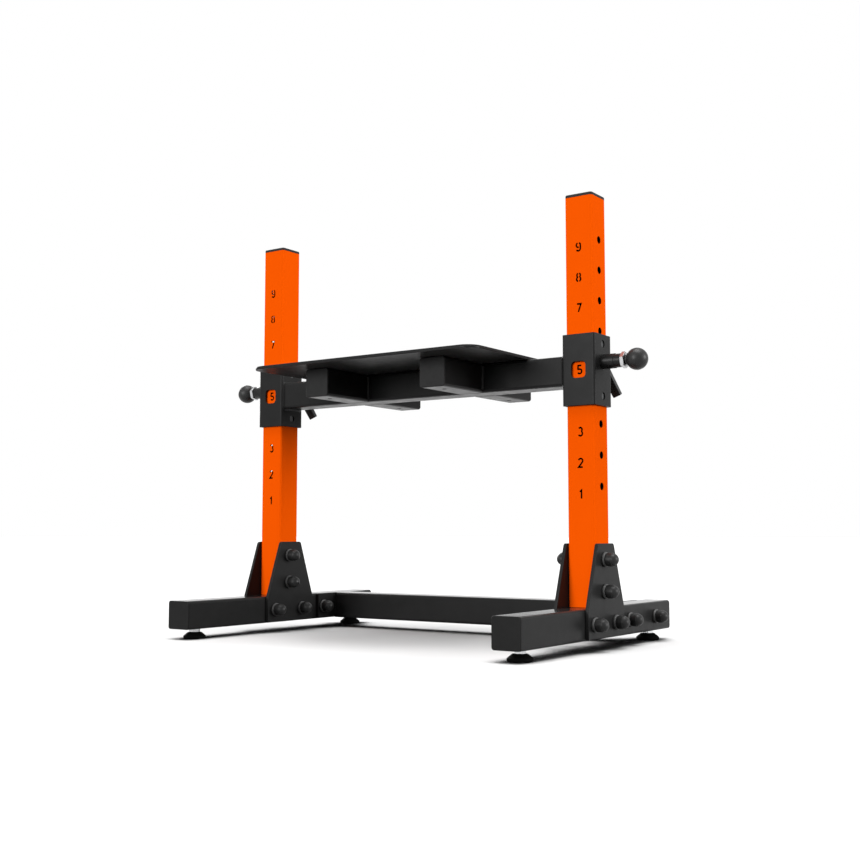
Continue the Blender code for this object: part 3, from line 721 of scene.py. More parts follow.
@dataclass(frozen=True)
class TubeCoat(PowderCoat):
    """Powder coat on the uprights, with painted shade on the cuts and the inside.

    The walls of the cuts and the tube's inside are painted near black: painted shade, for the dark inside
    of the closed tube.
    """

    # Painted shade, near black, for the dark inside of the closed tube
    scale: str = "0B0908"
    tube_x: float = 0.3375
    tube_half: float = TUBE / 2
    tube_corner: float = TUBE_CORNER
    bare_depth: float = 0.0007
    full_depth: float = 0.0003

    def skin(self, tree: Tree) -> Socket:
        """Lays the coat on the outer skin alone and painted shade on the rest, found from how far a point
        is from the tube's core.
        """
        coat = super().skin(tree)
        place = add_node(tree, "TexCoord").outputs["Object"]
        half = self.tube_half - self.tube_corner
        steps = [("ABSOLUTE", None), ("SUBTRACT", (self.tube_x, 0.0, 0.0)), ("ABSOLUTE", None),
                 ("SUBTRACT", (half, half, 0.0)), ("MAXIMUM", (0.0, 0.0, 0.0)),
                 ("MULTIPLY", (1.0, 1.0, 0.0))]
        for operation, by in steps:
            inputs = {0: place} if by is None else {0: place, 1: by}
            place = add_node(tree, "VectorMath", inputs, operation=operation).outputs["Vector"]
        out = add_node(tree, "VectorMath", {0: place}, operation="LENGTH").outputs["Value"]
        skin = add_node(tree, "MapRange", {"Value": out, "From Min": self.tube_corner - self.bare_depth,
                                           "From Max": self.tube_corner - self.full_depth})
        # Painted shade: the walls of the cuts and the tube's inside turn near black, for the dark inside of
        # the closed tube
        coated = add_node(tree, "MixRGB", {"Fac": skin.outputs["Result"], "Color1": to_linear(self.scale),
                                           "Color2": coat})
        return coated.outputs["Color"]


@dataclass(frozen=True)
class MouldedPlastic(Finish):
    """Injection moulded polyamide or polyethylene, as in end caps, knobs and bolt covers.

    The mould's spark-eroded face leaves a fine even grain, with a soft sheen and scuffs on the edges.
    """

    worn: str
    roughness: float
    grain_mm: float
    depth: float = 0.00005
    specular: float = 0.4
    drift_mm: float = 14.0
    drift_share: float = 0.25
    wear_mm: float = 4.0
    wear_reach: float = 0.0007
    cloud_mm: float = 9.0
    grain_strength: float = 0.4
    soft_edge: float = 0.0005

    def dress(self, tree: Tree, shader: Node) -> None:
        """Adds mould grain, flow clouds and scuffed edges."""
        place = add_node(tree, "TexCoord").outputs["Object"]
        base = self.mottled(tree, self.worn, self.drift_mm, self.drift_share)
        wear = edge_mask(tree, self.wear_reach, self.wear_mm)
        pits = add_node(tree, "TexVoronoi", {"Vector": place, "Scale": per_metre(self.grain_mm)},
                        feature="SMOOTH_F1")
        eased = add_node(tree, "Bevel", {"Radius": self.soft_edge}, samples=EDGE_SAMPLES)
        bump = add_node(tree, "Bump", {"Height": pits.outputs["Distance"], "Strength": self.grain_strength,
                                       "Distance": self.depth, "Normal": eased.outputs["Normal"]})
        colour = add_node(tree, "MixRGB", {"Fac": wear, "Color1": base, "Color2": to_linear(self.worn)})
        rough = self.varied(tree, self.cloud_mm, self.roughness - 0.05, self.roughness + 0.07)
        feed(tree, shader, {"Base Color": colour.outputs["Color"], "Roughness": rough,
                            "Specular IOR Level": self.specular, "Normal": bump.outputs["Normal"]})


@dataclass(frozen=True)
class Rubber(Finish):
    """Vulcanised rubber, pressed in a mould: dull, very dark, with dust in its pebbled skin."""

    dust: str
    pebble_mm: float
    depth: float
    specular: float = 0.2
    drift_mm: float = 60.0
    drift_share: float = 0.35
    valleys: tuple[float, float] = (0.35, 0.75)
    dust_share: float = 0.5
    cloud_mm: float = 25.0
    roughness: tuple[float, float] = (0.72, 0.9)
    pebble_strength: float = 0.6

    def dress(self, tree: Tree, shader: Node) -> None:
        """Adds the pebbled skin and dust that lies between the pebbles."""
        place = add_node(tree, "TexCoord").outputs["Object"]
        pebbles = add_node(tree, "TexVoronoi", {"Vector": place, "Scale": per_metre(self.pebble_mm)},
                           feature="SMOOTH_F1").outputs["Distance"]
        low, high = self.valleys
        dusty = add_node(tree, "MapRange", {"Value": pebbles, "From Min": low, "From Max": high,
                                            "To Max": self.dust_share})
        base = self.mottled(tree, self.dust, self.drift_mm, self.drift_share)
        colour = add_node(tree, "MixRGB", {"Fac": dusty.outputs["Result"], "Color1": base,
                                           "Color2": to_linear(self.dust)})
        bump = add_node(tree, "Bump", {"Height": pebbles, "Strength": self.pebble_strength,
                                       "Distance": self.depth}, invert=True)
        feed(tree, shader, {"Base Color": colour.outputs["Color"],
                            "Roughness": self.varied(tree, self.cloud_mm, *self.roughness),
                            "Specular IOR Level": self.specular, "Normal": bump.outputs["Normal"]})


@dataclass(frozen=True)
class PlatedSteel(Finish):
    """Steel with a bright zinc plating: silver, faintly crystalline, dulled where tools touched it."""

    dull: str
    roughness: float
    crystal_mm: float = 1.1
    drift_mm: float = 5.0
    drift_share: float = 0.5
    crystal_strength: float = 0.2
    crystal_depth: float = 0.00003
    soft_edge: float = 0.0003

    def dress(self, tree: Tree, shader: Node) -> None:
        """Adds plating crystals, dull patches and bright edges."""
        place = add_node(tree, "TexCoord").outputs["Object"]
        crystals = add_node(tree, "TexVoronoi", {"Vector": place, "Scale": per_metre(self.crystal_mm)})
        height = crystals.outputs["Distance"]
        rough = add_node(tree, "MapRange", {"Value": height, "To Min": self.roughness - 0.05,
                                            "To Max": self.roughness + 0.12})
        eased = add_node(tree, "Bevel", {"Radius": self.soft_edge}, samples=EDGE_SAMPLES)
        bump = add_node(tree, "Bump", {"Height": height, "Strength": self.crystal_strength,
                                       "Distance": self.crystal_depth, "Normal": eased.outputs["Normal"]})
        feed(tree, shader, {"Base Color": self.mottled(tree, self.dull, self.drift_mm, self.drift_share),
                            "Metallic": 1.0, "Roughness": rough.outputs["Result"],
                            "Normal": bump.outputs["Normal"]})


@dataclass(frozen=True)
class TurnedSteel(Finish):
    """Bright steel, turned on a lathe: fine rings round the X axis of the plunger pins."""

    dull: str
    roughness: float
    ring_mm: float = 0.4
    drift_mm: float = 6.0
    drift_share: float = 0.5
    ring_strength: float = 0.25
    ring_depth: float = 0.00003

    def dress(self, tree: Tree, shader: Node) -> None:
        """Adds the tool's rings and an oily drift. At a scale of 1 a wave texture has 20 bands a metre."""
        place = add_node(tree, "TexCoord").outputs["Object"]
        rings = add_node(tree, "TexWave", {"Vector": place, "Scale": per_metre(self.ring_mm) / 20,
                                           "Distortion": 0.6}, wave_type="BANDS", bands_direction="X")
        height = rings.outputs["Fac"]
        rough = add_node(tree, "MapRange", {"Value": height, "To Min": self.roughness - 0.06,
                                            "To Max": self.roughness + 0.08})
        bump = add_node(tree, "Bump", {"Height": height, "Strength": self.ring_strength,
                                       "Distance": self.ring_depth})
        feed(tree, shader, {"Base Color": self.mottled(tree, self.dull, self.drift_mm, self.drift_share),
                            "Metallic": 1.0, "Roughness": rough.outputs["Result"],
                            "Normal": bump.outputs["Normal"]})


# The uprights' coat shines in its own colour, so that its orange stays full in the light
ORANGE_COAT = TubeCoat("Orange polyester powder coat", "FB5A02", "F85802", "FF6206", 0.55,
                       index=1.02, tint="FF5A05")
BLACK_COAT = PowderCoat("Black polyester powder coat", "242424", "212121", "2E2E2E", 0.33, index=1.16)
# The ripples of a weld bead are 2 mm apart, and drawn coarser so that they show
WELD_COAT = PowderCoat("Black powder coat over weld beads", "242424", "202020", "2C2C2C", 0.36,
                       peel_mm=3.2, peel_depth=0.0009, index=1.2)
GLOSS_COAT = PowderCoat("Gloss black enamel on turned steel", "0C0C0C", "0F0F0F", "1C1C1C", 0.3, index=1.3)
CAP_PLASTIC = MouldedPlastic("Black polyethylene of end caps", "242424", "303030", 0.55, 0.9,
                             specular=0.12)
# The foot caps are the end caps' polyethylene painted darker: painted shade, for the dimmer light near the
# floor
SHADED_FOOT_CAP_PLASTIC = MouldedPlastic("Black polyethylene of foot caps", "131313", "1E1E1E", 0.36, 0.9,
                              specular=0.1)
COVER_PLASTIC = MouldedPlastic("Black polyamide of bolt covers", "1B1B1B", "2A2A2A", 0.42, 0.6,
                               specular=0.22)
# The seats' grey is partly their own colour and partly a painted highlight, for the light their rounded
# rings catch
SEAT_GREY_AND_HIGHLIGHT = MouldedPlastic("Grey polyamide of cover seats", "4C4C4C", "606060", 0.4, 0.6)
KNOB_PLASTIC = MouldedPlastic("Black duroplast of knobs and levers", "1B1B1B", "2E2E2E", 0.42, 0.7,
                              depth=0.00002, specular=0.25)
LINER_NYLON = MouldedPlastic("Grey-black nylon of liners", "3A3B3C", "505254", 0.5, 0.5)
PAD_RUBBER = Rubber("Black rubber of levelling pads", "050505", "0D0D0C", 0.8, 0.00008, specular=0.04)
# The mat's real pebbles are about 1.5 mm across, and drawn coarser so that they show
MAT_RUBBER = Rubber("Black pebbled rubber mat", "1E1F20", "2E2E2C", 2.4, 0.0003)
ZINC = PlatedSteel("Bright zinc plating", "B8B9BA", "9A9B9D", 0.24)
BRIGHT_STEEL = TurnedSteel("Turned bright steel", "B4B5B7", "98999B", 0.3)


def coat(obj: Piece, finish: Finish) -> None:
    """Gives an object its finish, in place of what it had."""
    obj.data.materials.clear()
    obj.data.materials.append(finish.material())


def own(obj: Piece, finish: Finish, slot: str, body: str, *nodes: str) -> Piece:
    """Finishes a new piece: shading, material, the body it rides on and the nodes it stands for.

    Args:
        obj: The piece, in its place.
        finish: Its finish.
        slot: The record's material slot. Not used.
        body: The body that it moves with.
        nodes: The model's nodes that it replaces.

    Returns:
        The piece.
    """
    smooth(obj)
    coat(obj, finish)
    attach(obj, body)
    if nodes:
        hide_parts(*nodes)
    LOG.info("%s: %d faces on %s", obj.name, len(obj.data.polygons), body)
    return obj


def coat_node(node: str, finish: Finish) -> None:
    """Gives a node of the model, whose shape stays, its finish."""
    coat(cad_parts[node], finish)
    LOG.info("%s: kept, %s", node, finish.name)


# Sub-assemblies


@dataclass
class EndCap:
    """Moulded cap for the end of a square tube: a softly rounded face and a hollow plug."""

    width: float
    thickness: float
    corner: float = TUBE_CORNER
    face_rounding: float = 0.0014
    plug_inset: float = 0.0033
    plug_depth: float = 0.012
    plug_wall: float = 0.001

    def build(self, name: str) -> Piece:
        """Models the cap, face up, with the tube's end at height zero.

        Args:
            name: The piece's name.

        Returns:
            The cap.
        """
        cap = bar(name, (self.width, self.width, self.thickness), self.corner)
        soften(cap, sharp_rim(self.thickness), self.face_rounding, 3)
        pick(cap, Part.FACES, at_height(0.0))
        bpy.ops.mesh.inset(thickness=self.plug_inset)
        extrude(0.0, 0.0, -self.plug_depth)
        bpy.ops.mesh.inset(thickness=self.plug_wall)
        extrude(0.0, 0.0, self.plug_depth)
        return close_up(cap)


@dataclass
class HexNut:
    """Hexagon nut with both faces chamfered, as it comes from the bar."""

    thread: float
    flats: float
    height: float
    turn: float = math.pi / 6
    chamfer_angle: float = 20.0

    def build(self, name: str) -> Piece:
        """Models the nut from height zero up.

        Args:
            name: The piece's name.

        Returns:
            The nut.
        """
        corners = self.flats / math.cos(math.pi / 6)
        nut = drill(corners, self.height, vertices=6)
        nut.rotation_euler.z = self.turn
        settle()
        # Cut after the chamfers, the bore would now and then leave its disc on one face
        combine(nut, drill(self.thread + 2 * GAP, 3 * self.height, -self.height), Cut.AWAY)
        drop = (corners - self.flats) / 2 * math.tan(math.radians(self.chamfer_angle))
        face = self.flats / 2
        rim = corners / 2 + GAP
        cone = turned("cone", [(0.0, 0.0), (face, 0.0), (rim, drop), (rim, self.height - drop),
                               (face, self.height), (0.0, self.height)], 48)
        combine(nut, cone, Cut.COMMON)
        choose(nut)
        return named(name)


@dataclass
class BoltCover:
    """Snap-on cover over a bolt's head or nut: a grey seat, and on it a black body with a domed lid."""

    seat_diameter: float = 0.024
    seat_height: float = 0.0039
    body_diameter: float = 0.022
    crease_height: float = 0.015
    dome_diameter: float = 0.0208
    height: float = 0.0235
    shank: float = 0.012
    rounding: float = 0.0012
    seat_rounding: float = 0.0016
    crease_turn: float = 2.0

    def section(self) -> Profile:
        """Returns half of the cover's section, from the body's foot to the crown."""
        body = self.body_diameter / 2
        dome = self.dome_diameter / 2
        soft = self.rounding
        foot = self.seat_height + GAP
        hub = self.height - dome
        first = math.degrees(math.asin((self.crease_height - hub) / dome)) + self.crease_turn
        points = [(self.shank / 2, foot), (body - soft, foot)]
        points += rounded((body - soft, foot + soft), soft, -90.0, 0.0, 4)[1:]
        points += rounded((body - soft / 2, self.crease_height - soft / 2), soft / 2, 0.0, 90.0, 3)
        points += [(dome - soft / 4, self.crease_height - soft / 4)]
        points += rounded((0.0, hub), dome, first, 90.0, 12)
        return points

    def build(self, name: str, inner: float, outer: float) -> Piece:
        """Models a bolt with the black part of a cover at either end, along Z.

        Args:
            name: The piece's name.
            inner: Where the lower cover's foot lies below the origin.
            outer: Where the upper cover's foot lies above the origin.

        Returns:
            The covered bolt.
        """
        section = self.section()
        low = [(r, -inner - z) for r, z in reversed(section)]
        high = [(r, outer + z) for r, z in section]
        return turned(name, low + high, 40)

    def seats(self, name: str, inner: float, outer: float) -> Piece:
        """Models the two seats of a covered bolt.

        Args:
            name: The piece's name.
            inner: Where the lower seat's foot lies below the origin.
            outer: Where the upper seat's foot lies above the origin.

        Returns:
            Both rings, as one piece.
        """
        edge = self.seat_diameter / 2
        hole = self.shank / 2 + GAP
        soft = self.seat_rounding
        ring = [(hole, 0.0), (edge - soft / 3, 0.0), (edge, soft / 3), (edge, self.seat_height - soft)]
        ring += rounded((edge - soft, self.seat_height - soft), soft, 0.0, 90.0, 3)[1:]
        ring += [(hole, self.seat_height), (hole, 0.0)]
        high = turned("high_seat", [(r, outer + z) for r, z in ring], 40)
        low = turned("low_seat", [(r, -inner - z) for r, z in ring], 40)
        return merged(name, [high, low])


@dataclass
class LevellingFoot:
    """Conical rubber pad on a threaded zinc stud, with the nut that locks it against the foot tube."""

    pad_diameter: float = 0.040
    pad_height: float = 0.0116
    rim_height: float = 0.005
    top_diameter: float = 0.023
    rounding: float = 0.0022
    rim_turn: float = 62.0
    top_rounding: float = 0.0008
    hollow: float = 0.0003
    hollow_shares: tuple[float, float] = (0.72, 0.74)
    stud: float = 0.010
    stud_top: float = 0.0352
    pitch: float = 0.0015
    thread_depth: float = 0.0006
    crest_shares: tuple[float, float] = (0.4, 0.6)
    nut_flats: float = 0.017
    nut_height: float = 0.006

    def pad(self, name: str) -> Piece:
        """Models the pad, which stands on height zero.

        Args:
            name: The piece's name.

        Returns:
            The pad.
        """
        rim = self.pad_diameter / 2
        top = self.top_diameter / 2
        soft = self.top_rounding
        side = rim - self.rounding
        inner, outer = self.hollow_shares
        profile = [(0.0, self.hollow), (rim * inner, self.hollow), (rim * outer, 0.0)]
        profile += rounded((side, self.rounding), self.rounding, -90.0, 0.0)
        profile += rounded((side, self.rim_height - self.rounding / 2), self.rounding, 0.0, self.rim_turn)
        profile += [(top + soft, self.pad_height - soft / 2), (top - soft, self.pad_height)]
        profile += [(0.0, self.pad_height)]
        return turned(name, profile, 48)

    def studding(self, name: str) -> Piece:
        """Models the threaded stud from the pad's top up.

        Args:
            name: The piece's name.

        Returns:
            The stud.
        """
        crest = self.stud / 2
        root = crest - self.thread_depth
        start = self.pad_height + GAP / 2
        profile = [(0.0, start), (root, start)]
        turns = int((self.stud_top - start) / self.pitch) - 1
        for i in range(turns):
            z = start + self.pitch * (i + 0.5)
            profile += [(root, z)] + [(crest, z + self.pitch * share) for share in self.crest_shares]
        profile += [(root, self.stud_top), (0.0, self.stud_top)]
        return turned(name, profile, 24)


@dataclass
class Foot:
    """One side's foot: the tube, its end caps and its two levelling feet."""

    side: Side
    pad_y: float

    def build(self) -> None:
        """Models and places everything that the foot carries."""
        side = self.side.label
        low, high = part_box(f"foot_tube_{side}")
        x = centre(f"foot_tube_{side}")[0]
        coat_node(f"foot_tube_{side}", BLACK_COAT)
        cap_z = centre(f"foot_end_cap_front_{side}")[2]
        reach = GAP - low.y
        cap = EndCap(high.x - low.x, -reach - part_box(f"foot_end_cap_front_{side}")[0].y)
        levelling = LevellingFoot()
        for end in End:
            name = f"{end.label}_{side}"
            made = set_down(cap.build(f"end_cap_{name}"), (x, end.value * reach, cap_z), end.facing)
            # the foot caps' darker colour is painted shade
            own(made, SHADED_FOOT_CAP_PLASTIC, "cap_plastic", "frame", f"foot_end_cap_{name}")
            self.level(levelling, name, (x, end.value * self.pad_y, 0.0))

    def level(self, levelling: LevellingFoot, name: str, place: Point) -> None:
        """Places one levelling foot.

        Args:
            levelling: Its sizes.
            name: Which end and side it is on.
            place: The point on the floor under it.
        """
        body = f"levelling_foot_{name}"
        pad = set_down(levelling.pad(f"levelling_pad_{name}"), place)
        own(pad, PAD_RUBBER, "rubber", body, body)
        stud = set_down(levelling.studding(f"levelling_stud_{name}"), place)
        own(stud, ZINC, "zinc", body, body)
        nut_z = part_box(f"levelling_lock_nut_{name}")[0].z
        nut = HexNut(levelling.stud, levelling.nut_flats, levelling.nut_height).build(f"lock_nut_{name}")
        set_down(nut, (place[0], place[1], nut_z))
        own(nut, ZINC, "zinc", "frame", f"levelling_lock_nut_{name}")


@dataclass
class Gussets:
    """The two plates that tie one upright to its foot."""

    side: Side
    corner: float = 0.0042
    edge: float = 0.0007
    shoulder: float = 0.0475
    top_width: float = 0.056
    foot_bolts: float = 0.075
    foot_bolt_rise: float = 0.0225
    upright_bolts: tuple[float, float] = (0.0735, 0.1245)

    def holes(self) -> list[Vector]:
        """Returns the middles of the four bolt holes."""
        places = [(side * self.foot_bolts / 2, self.foot_bolt_rise) for side in (-1, 1)]
        places += [(0.0, rise) for rise in self.upright_bolts]
        return [Vector((x - BOLT_LEAD, y)) for x, y in places]

    def build(self) -> None:
        """Models both plates."""
        for face in ("inner", "outer"):
            self.plate(f"gusset_{face}_{self.side.label}")

    def plate(self, node: str) -> None:
        """Models one plate: laser-cut outline, bolt holes and edges eased by blasting and coating.

        Args:
            node: The node that it replaces.
        """
        low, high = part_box(node)
        width, height, thickness = high.y - low.y, high.z - low.z, high.x - low.x
        deselect()
        bpy.ops.mesh.primitive_plane_add(size=1.0, location=(0.0, 0.0, 0.0))
        plate = named(node.replace("gusset", "gusset_plate"))
        edit(plate)
        bpy.ops.mesh.select_all(action="SELECT")
        bpy.ops.transform.resize(value=(width, self.shoulder, 1.0))
        bpy.ops.transform.translate(value=(0.0, self.shoulder / 2, 0.0))
        pick(plate, Part.EDGES, lambda e: middle(e).y > self.shoulder - TINY)
        extrude(0.0, height - self.shoulder, 0.0)
        bpy.ops.transform.resize(value=(self.top_width / width, 1.0, 1.0),
                                 center_override=(0.0, height, 0.0))
        pick(plate, Part.CORNERS, lambda v: v.co.y > height - TINY)
        bpy.ops.mesh.bevel(offset=self.corner, segments=5, affect="VERTICES")
        pick(plate, Part.FACES, everything)
        bpy.ops.mesh.dissolve_faces()
        extrude(0.0, 0.0, thickness)
        close_up(plate)
        for place in self.holes():
            hole = drill(HOLE, 3 * thickness, -thickness)
            combine(plate, set_down(hole, (*place, 0.0)), Cut.AWAY)
        outline = sharp_rim(0.0, thickness)

        def outer_rim(edge: Item) -> bool:
            """Whether an edge belongs to the plate's outline and not to a hole."""
            return outline(edge) and all((middle(edge).xy - spot).length > HOLE for spot in self.holes())
        soften(plate, outer_rim, self.edge, 2)
        set_down(close_up(plate), (low.x, 0.0, low.z), Facing.RIGHT)
        own(plate, BLACK_COAT, "black_coat", "frame", node)


@dataclass
class CoveredBolts:
    """The bolts of one side, each with a cover at both ends."""

    side: Side
    cover: BoltCover

    def build(self) -> None:
        """Models one bolt of either length and copies it to its places."""
        side = self.side.label
        x = centre(f"upright_{side}")[0]
        rows = {"gusset_bolt": ("foot_front", "foot_rear", "upright_lower", "upright_upper"),
                "flange_bolt": ("front", "rear")}
        # the seats' grey is partly a painted highlight
        looks = (("covered_bolt", COVER_PLASTIC), ("cover_seats", SEAT_GREY_AND_HIGHLIGHT))
        for kind, places in rows.items():
            reaches = self.reaches(f"{kind}_{side}_{places[0]}", x)
            patterns = (self.cover.build("bolt_pattern", *reaches),
                        self.cover.seats("seat_pattern", *reaches))
            for place in places:
                node = f"{kind}_{side}_{place}"
                where = (x, *centre(node)[1:])
                for pattern, (word, finish) in zip(patterns, looks):
                    made = set_down(copied(pattern, node.replace("bolt", word)), where, self.side.facing)
                    own(made, finish, "black_plastic", "frame", node)
            for pattern in patterns:
                bpy.data.objects.remove(pattern)

    def reaches(self, node: str, x: float) -> tuple[float, float]:
        """Works out how far from the tube's middle the two covers start.

        Args:
            node: One bolt's node.
            x: Where the tube's middle is.

        Returns:
            The inner and the outer cover's distance.
        """
        inner, outer = sorted(self.side.value * (corner.x - x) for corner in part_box(node))
        return -inner - self.cover.height, outer - self.cover.height


@dataclass
class Upright:
    """One numbered upright: a laser-cut square tube with its top cap."""

    side: Side
    levels: int = 9
    pitch: float = 0.051
    first_hole: float = 0.2632
    digit_drop: float = 0.0132
    bolt_rises: tuple[float, float] = (0.026, 0.077)
    cap_rounding: float = 0.0018

    def build(self) -> None:
        """Models the tube, cuts it and closes it with its cap."""
        side = self.side.label
        low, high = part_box(f"upright_{side}")
        width, height = high.x - low.x, high.z - low.z
        x = centre(f"upright_{side}")[0]
        tube = open_tube(f"numbered_upright_{side}", width, height, TUBE_CORNER)
        set_down(tube, (x, 0.0, low.z))
        cutters = []
        for level in range(1, self.levels + 1):
            z = self.first_hole + (level - 1) * self.pitch
            hole = drill(HOLE, 4 * WALL, -2 * WALL)
            outer = x + self.side.value * (width / 2 - WALL / 2)
            cutters.append(set_down(hole, (outer, 0.0, z), Facing.RIGHT))
            digit = Numeral(level).cutter(3 * WALL)
            cutters.append(set_down(digit, (x, -width / 2 + WALL, z - self.digit_drop), Facing.FRONT))
        for rise in self.bolt_rises:
            through = drill(HOLE, 2 * width, -width)
            cutters.append(set_down(through, (x, -BOLT_LEAD, low.z + rise), Facing.RIGHT))
        combine(tube, merged("cutters", cutters), Cut.AWAY)
        own(tube, ORANGE_COAT, "orange_coat", "frame", f"upright_{side}")
        cap_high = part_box(f"upright_cap_{side}")[1]
        cap = EndCap(width, cap_high.z - high.z - GAP, face_rounding=self.cap_rounding)
        made = set_down(cap.build(f"top_cap_{side}"), (x, 0.0, high.z + GAP))
        own(made, CAP_PLASTIC, "cap_plastic", "frame", f"upright_cap_{side}")


def open_tube(name: str, width: float, length: float, corner: float) -> Piece:
    """Models an open square tube along Z: a bar whose ends are taken off and whose skin gets its wall.

    Args:
        name: The piece's name.
        width: Width across the flats.
        length: Length from height zero up.
        corner: Outer radius of the corners.

    Returns:
        The tube, in object mode.
    """
    tube = bar(name, (width, width, length), corner)
    pick(tube, Part.FACES, at_height(0.0, length))
    bpy.ops.mesh.delete(type="FACE")
    close_up(tube)
    modify(tube, "SOLIDIFY", thickness=WALL, offset=-1.0, use_even_offset=True)
    return tube


@dataclass
class Numeral:
    """One stencil numeral as the laser cuts it: open strokes with bridges between them."""

    number: int
    width: float = 0.0102
    height: float = 0.0162
    stroke: float = 0.0028

    def strokes(self) -> list[Profile]:
        """Returns the middle lines of the numeral's strokes, about its own centre."""
        x = (self.width - self.stroke) / 2
        z = (self.height - self.stroke) / 2
        top = 0.85 * x
        high = (0.0, z - top)
        low = (0.0, x - z)
        waist = [(0.6 * x, 0.1 * z)]
        eight = rounded(high, top, 72, -15, 6) + waist + rounded(low, x, 25, -74, 8)
        nine = [rounded((0.0, z - x), x, 68, 0, 6) + rounded(low, x, 0, -150, 12),
                rounded((0.0, z - x), x, 112, 285, 12)]
        shapes = {
            1: [[(-0.6 * x, 0.62 * z), (0.25 * x, z), (0.25 * x, -z)]],
            2: [rounded(high, x, 165, -25, 12) + [(-x, -z), (x, -z)]],
            3: [rounded(high, top, 150, -15, 10) + waist + rounded(low, x, 25, -150, 12)],
            4: [[(0.3 * x, z), (-x, -0.3 * z), (0.02 * x, -0.3 * z)], [(0.6 * x, 0.4 * z), (0.6 * x, -z)]],
            5: [[(0.85 * x, z), (-0.75 * x, z), (-0.85 * x, 0.16 * z)] + rounded(low, x, 115, -150, 14)],
            6: [[(-a, -b) for a, b in path] for path in nine],
            7: [[(-x, z), (x, z), (-0.3 * x, -z)]],
            8: [eight, [(-a, b) for a, b in eight]],
            9: nine,
        }
        return shapes[self.number]

    def cutter(self, depth: float) -> Piece:
        """Makes the numeral's cutter: each stroke is extruded point by point, then widened.

        Args:
            depth: How far it cuts, half before and half behind the origin's plane.

        Returns:
            The cutter, flat in X and Y.
        """
        made = []
        for line in self.strokes():
            points = [(x, y, -depth / 2) for x, y in line]
            stroke = lone_point("stroke", points[0])
            draw_on(points)
            bpy.ops.mesh.select_all(action="SELECT")
            extrude(0.0, 0.0, depth)
            modify(stroke, "SOLIDIFY", thickness=self.stroke, offset=0.0, use_even_offset=True)
            made.append(close_up(stroke))
        return merged("numeral", made)


@dataclass
class Sleeve:
    """One sliding sleeve: square tube with its window, the plunger's barrel and the clamp's boss."""

    side: Side
    corner: float = 0.004
    end_edge: float = 0.0005
    window: tuple[float, float] = (0.026, 0.027)
    window_corner: float = 0.0065
    peg: float = 0.0122
    peg_from_end: float = 0.016
    barrel_diameter: float = 0.0245
    barrel_length: float = 0.023
    barrel_wall: float = 0.0006
    barrel_floor: float = 0.003
    barrel_fillet: float = 0.0004
    boss_diameter: float = 0.018
    boss_length: float = 0.010
    boss_bore: float = 0.0086
    boss_edge: float = 0.0008
    boss_fillet: float = 0.0012

    def build(self) -> None:
        """Models the sleeve, then the barrel and the boss that are welded to it."""
        side = self.side.label
        x = centre(f"sleeve_liner_upper_{side}")[0]
        low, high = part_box(f"sleeve_{side}")
        half = x - low.x if self.side is Side.RIGHT else high.x - x
        tube = open_tube(f"sleeve_tube_{side}", 2 * half, high.z - low.z, self.corner)
        set_down(tube, (x, 0.0, low.z))
        opening = bar("opening", (*self.window, 4 * WALL), self.window_corner, -2 * WALL, 5)
        bpy.ops.object.mode_set(mode="OBJECT")
        cutters = [set_down(opening, (x, -half + WALL / 2, centre(f"sleeve_{side}")[2]), Facing.FRONT)]
        for z in (low.z + self.peg_from_end, high.z - self.peg_from_end):
            cutters.append(set_down(drill(self.peg, 3 * half, -1.5 * half), (x, 0.0, z), Facing.RIGHT))
        root = (x + self.side.value * half, 0.0, PLUNGER_Z)
        cutters.append(set_down(drill(HOLE, 4 * WALL, -2 * WALL), root, self.side.facing))
        combine(tube, merged("cutters", cutters), Cut.AWAY)
        soften(tube, sharp_rim(low.z, high.z), self.end_edge, 2)
        bpy.ops.object.mode_set(mode="OBJECT")
        own(tube, BLACK_COAT, "black_coat", "carriage", f"sleeve_{side}")
        self.barrel(root)
        self.boss((x, half, PLUNGER_Z))

    def barrel(self, root: Point) -> None:
        """Models the plunger's barrel, a turned cup with a rolled lip on a weld fillet.

        Args:
            root: Where its axis meets the sleeve.
        """
        outer = self.barrel_diameter / 2
        bore = outer - self.barrel_wall
        lip = self.barrel_wall / 2
        pin = HOLE / 2
        foot = self.barrel_fillet
        profile = [(pin, 0.0), (outer + foot, 0.0)]
        profile += rounded((outer + foot, foot), foot, -90.0, -180.0, 3)
        profile += [(outer, self.barrel_length - lip)]
        profile += rounded((outer - lip, self.barrel_length - lip), lip, 0.0, 180.0, 4)
        profile += [(bore, self.barrel_floor), (pin, self.barrel_floor), (pin, 0.0)]
        made = set_down(turned(f"plunger_barrel_{self.side.label}", profile, 48), root, self.side.facing)
        own(made, GLOSS_COAT, "black_coat", "carriage", f"sleeve_{self.side.label}")

    def boss(self, root: Point) -> None:
        """Models the clamp's threaded boss on the sleeve's back.

        Args:
            root: Where its axis meets the sleeve.
        """
        outer = self.boss_diameter / 2
        bore = self.boss_bore / 2
        soft = self.boss_edge
        foot = self.boss_fillet
        profile = [(bore, 0.0), (outer + foot, 0.0)]
        profile += rounded((outer + foot, foot), foot, -90.0, -180.0, 4)
        profile += [(outer, self.boss_length - soft), (outer - soft, self.boss_length)]
        profile += [(bore, self.boss_length), (bore, 0.0)]
        made = set_down(turned(f"clamp_boss_{self.side.label}", profile, 40), root, Facing.REAR)
        own(made, BLACK_COAT, "black_coat", "carriage", f"sleeve_{self.side.label}")


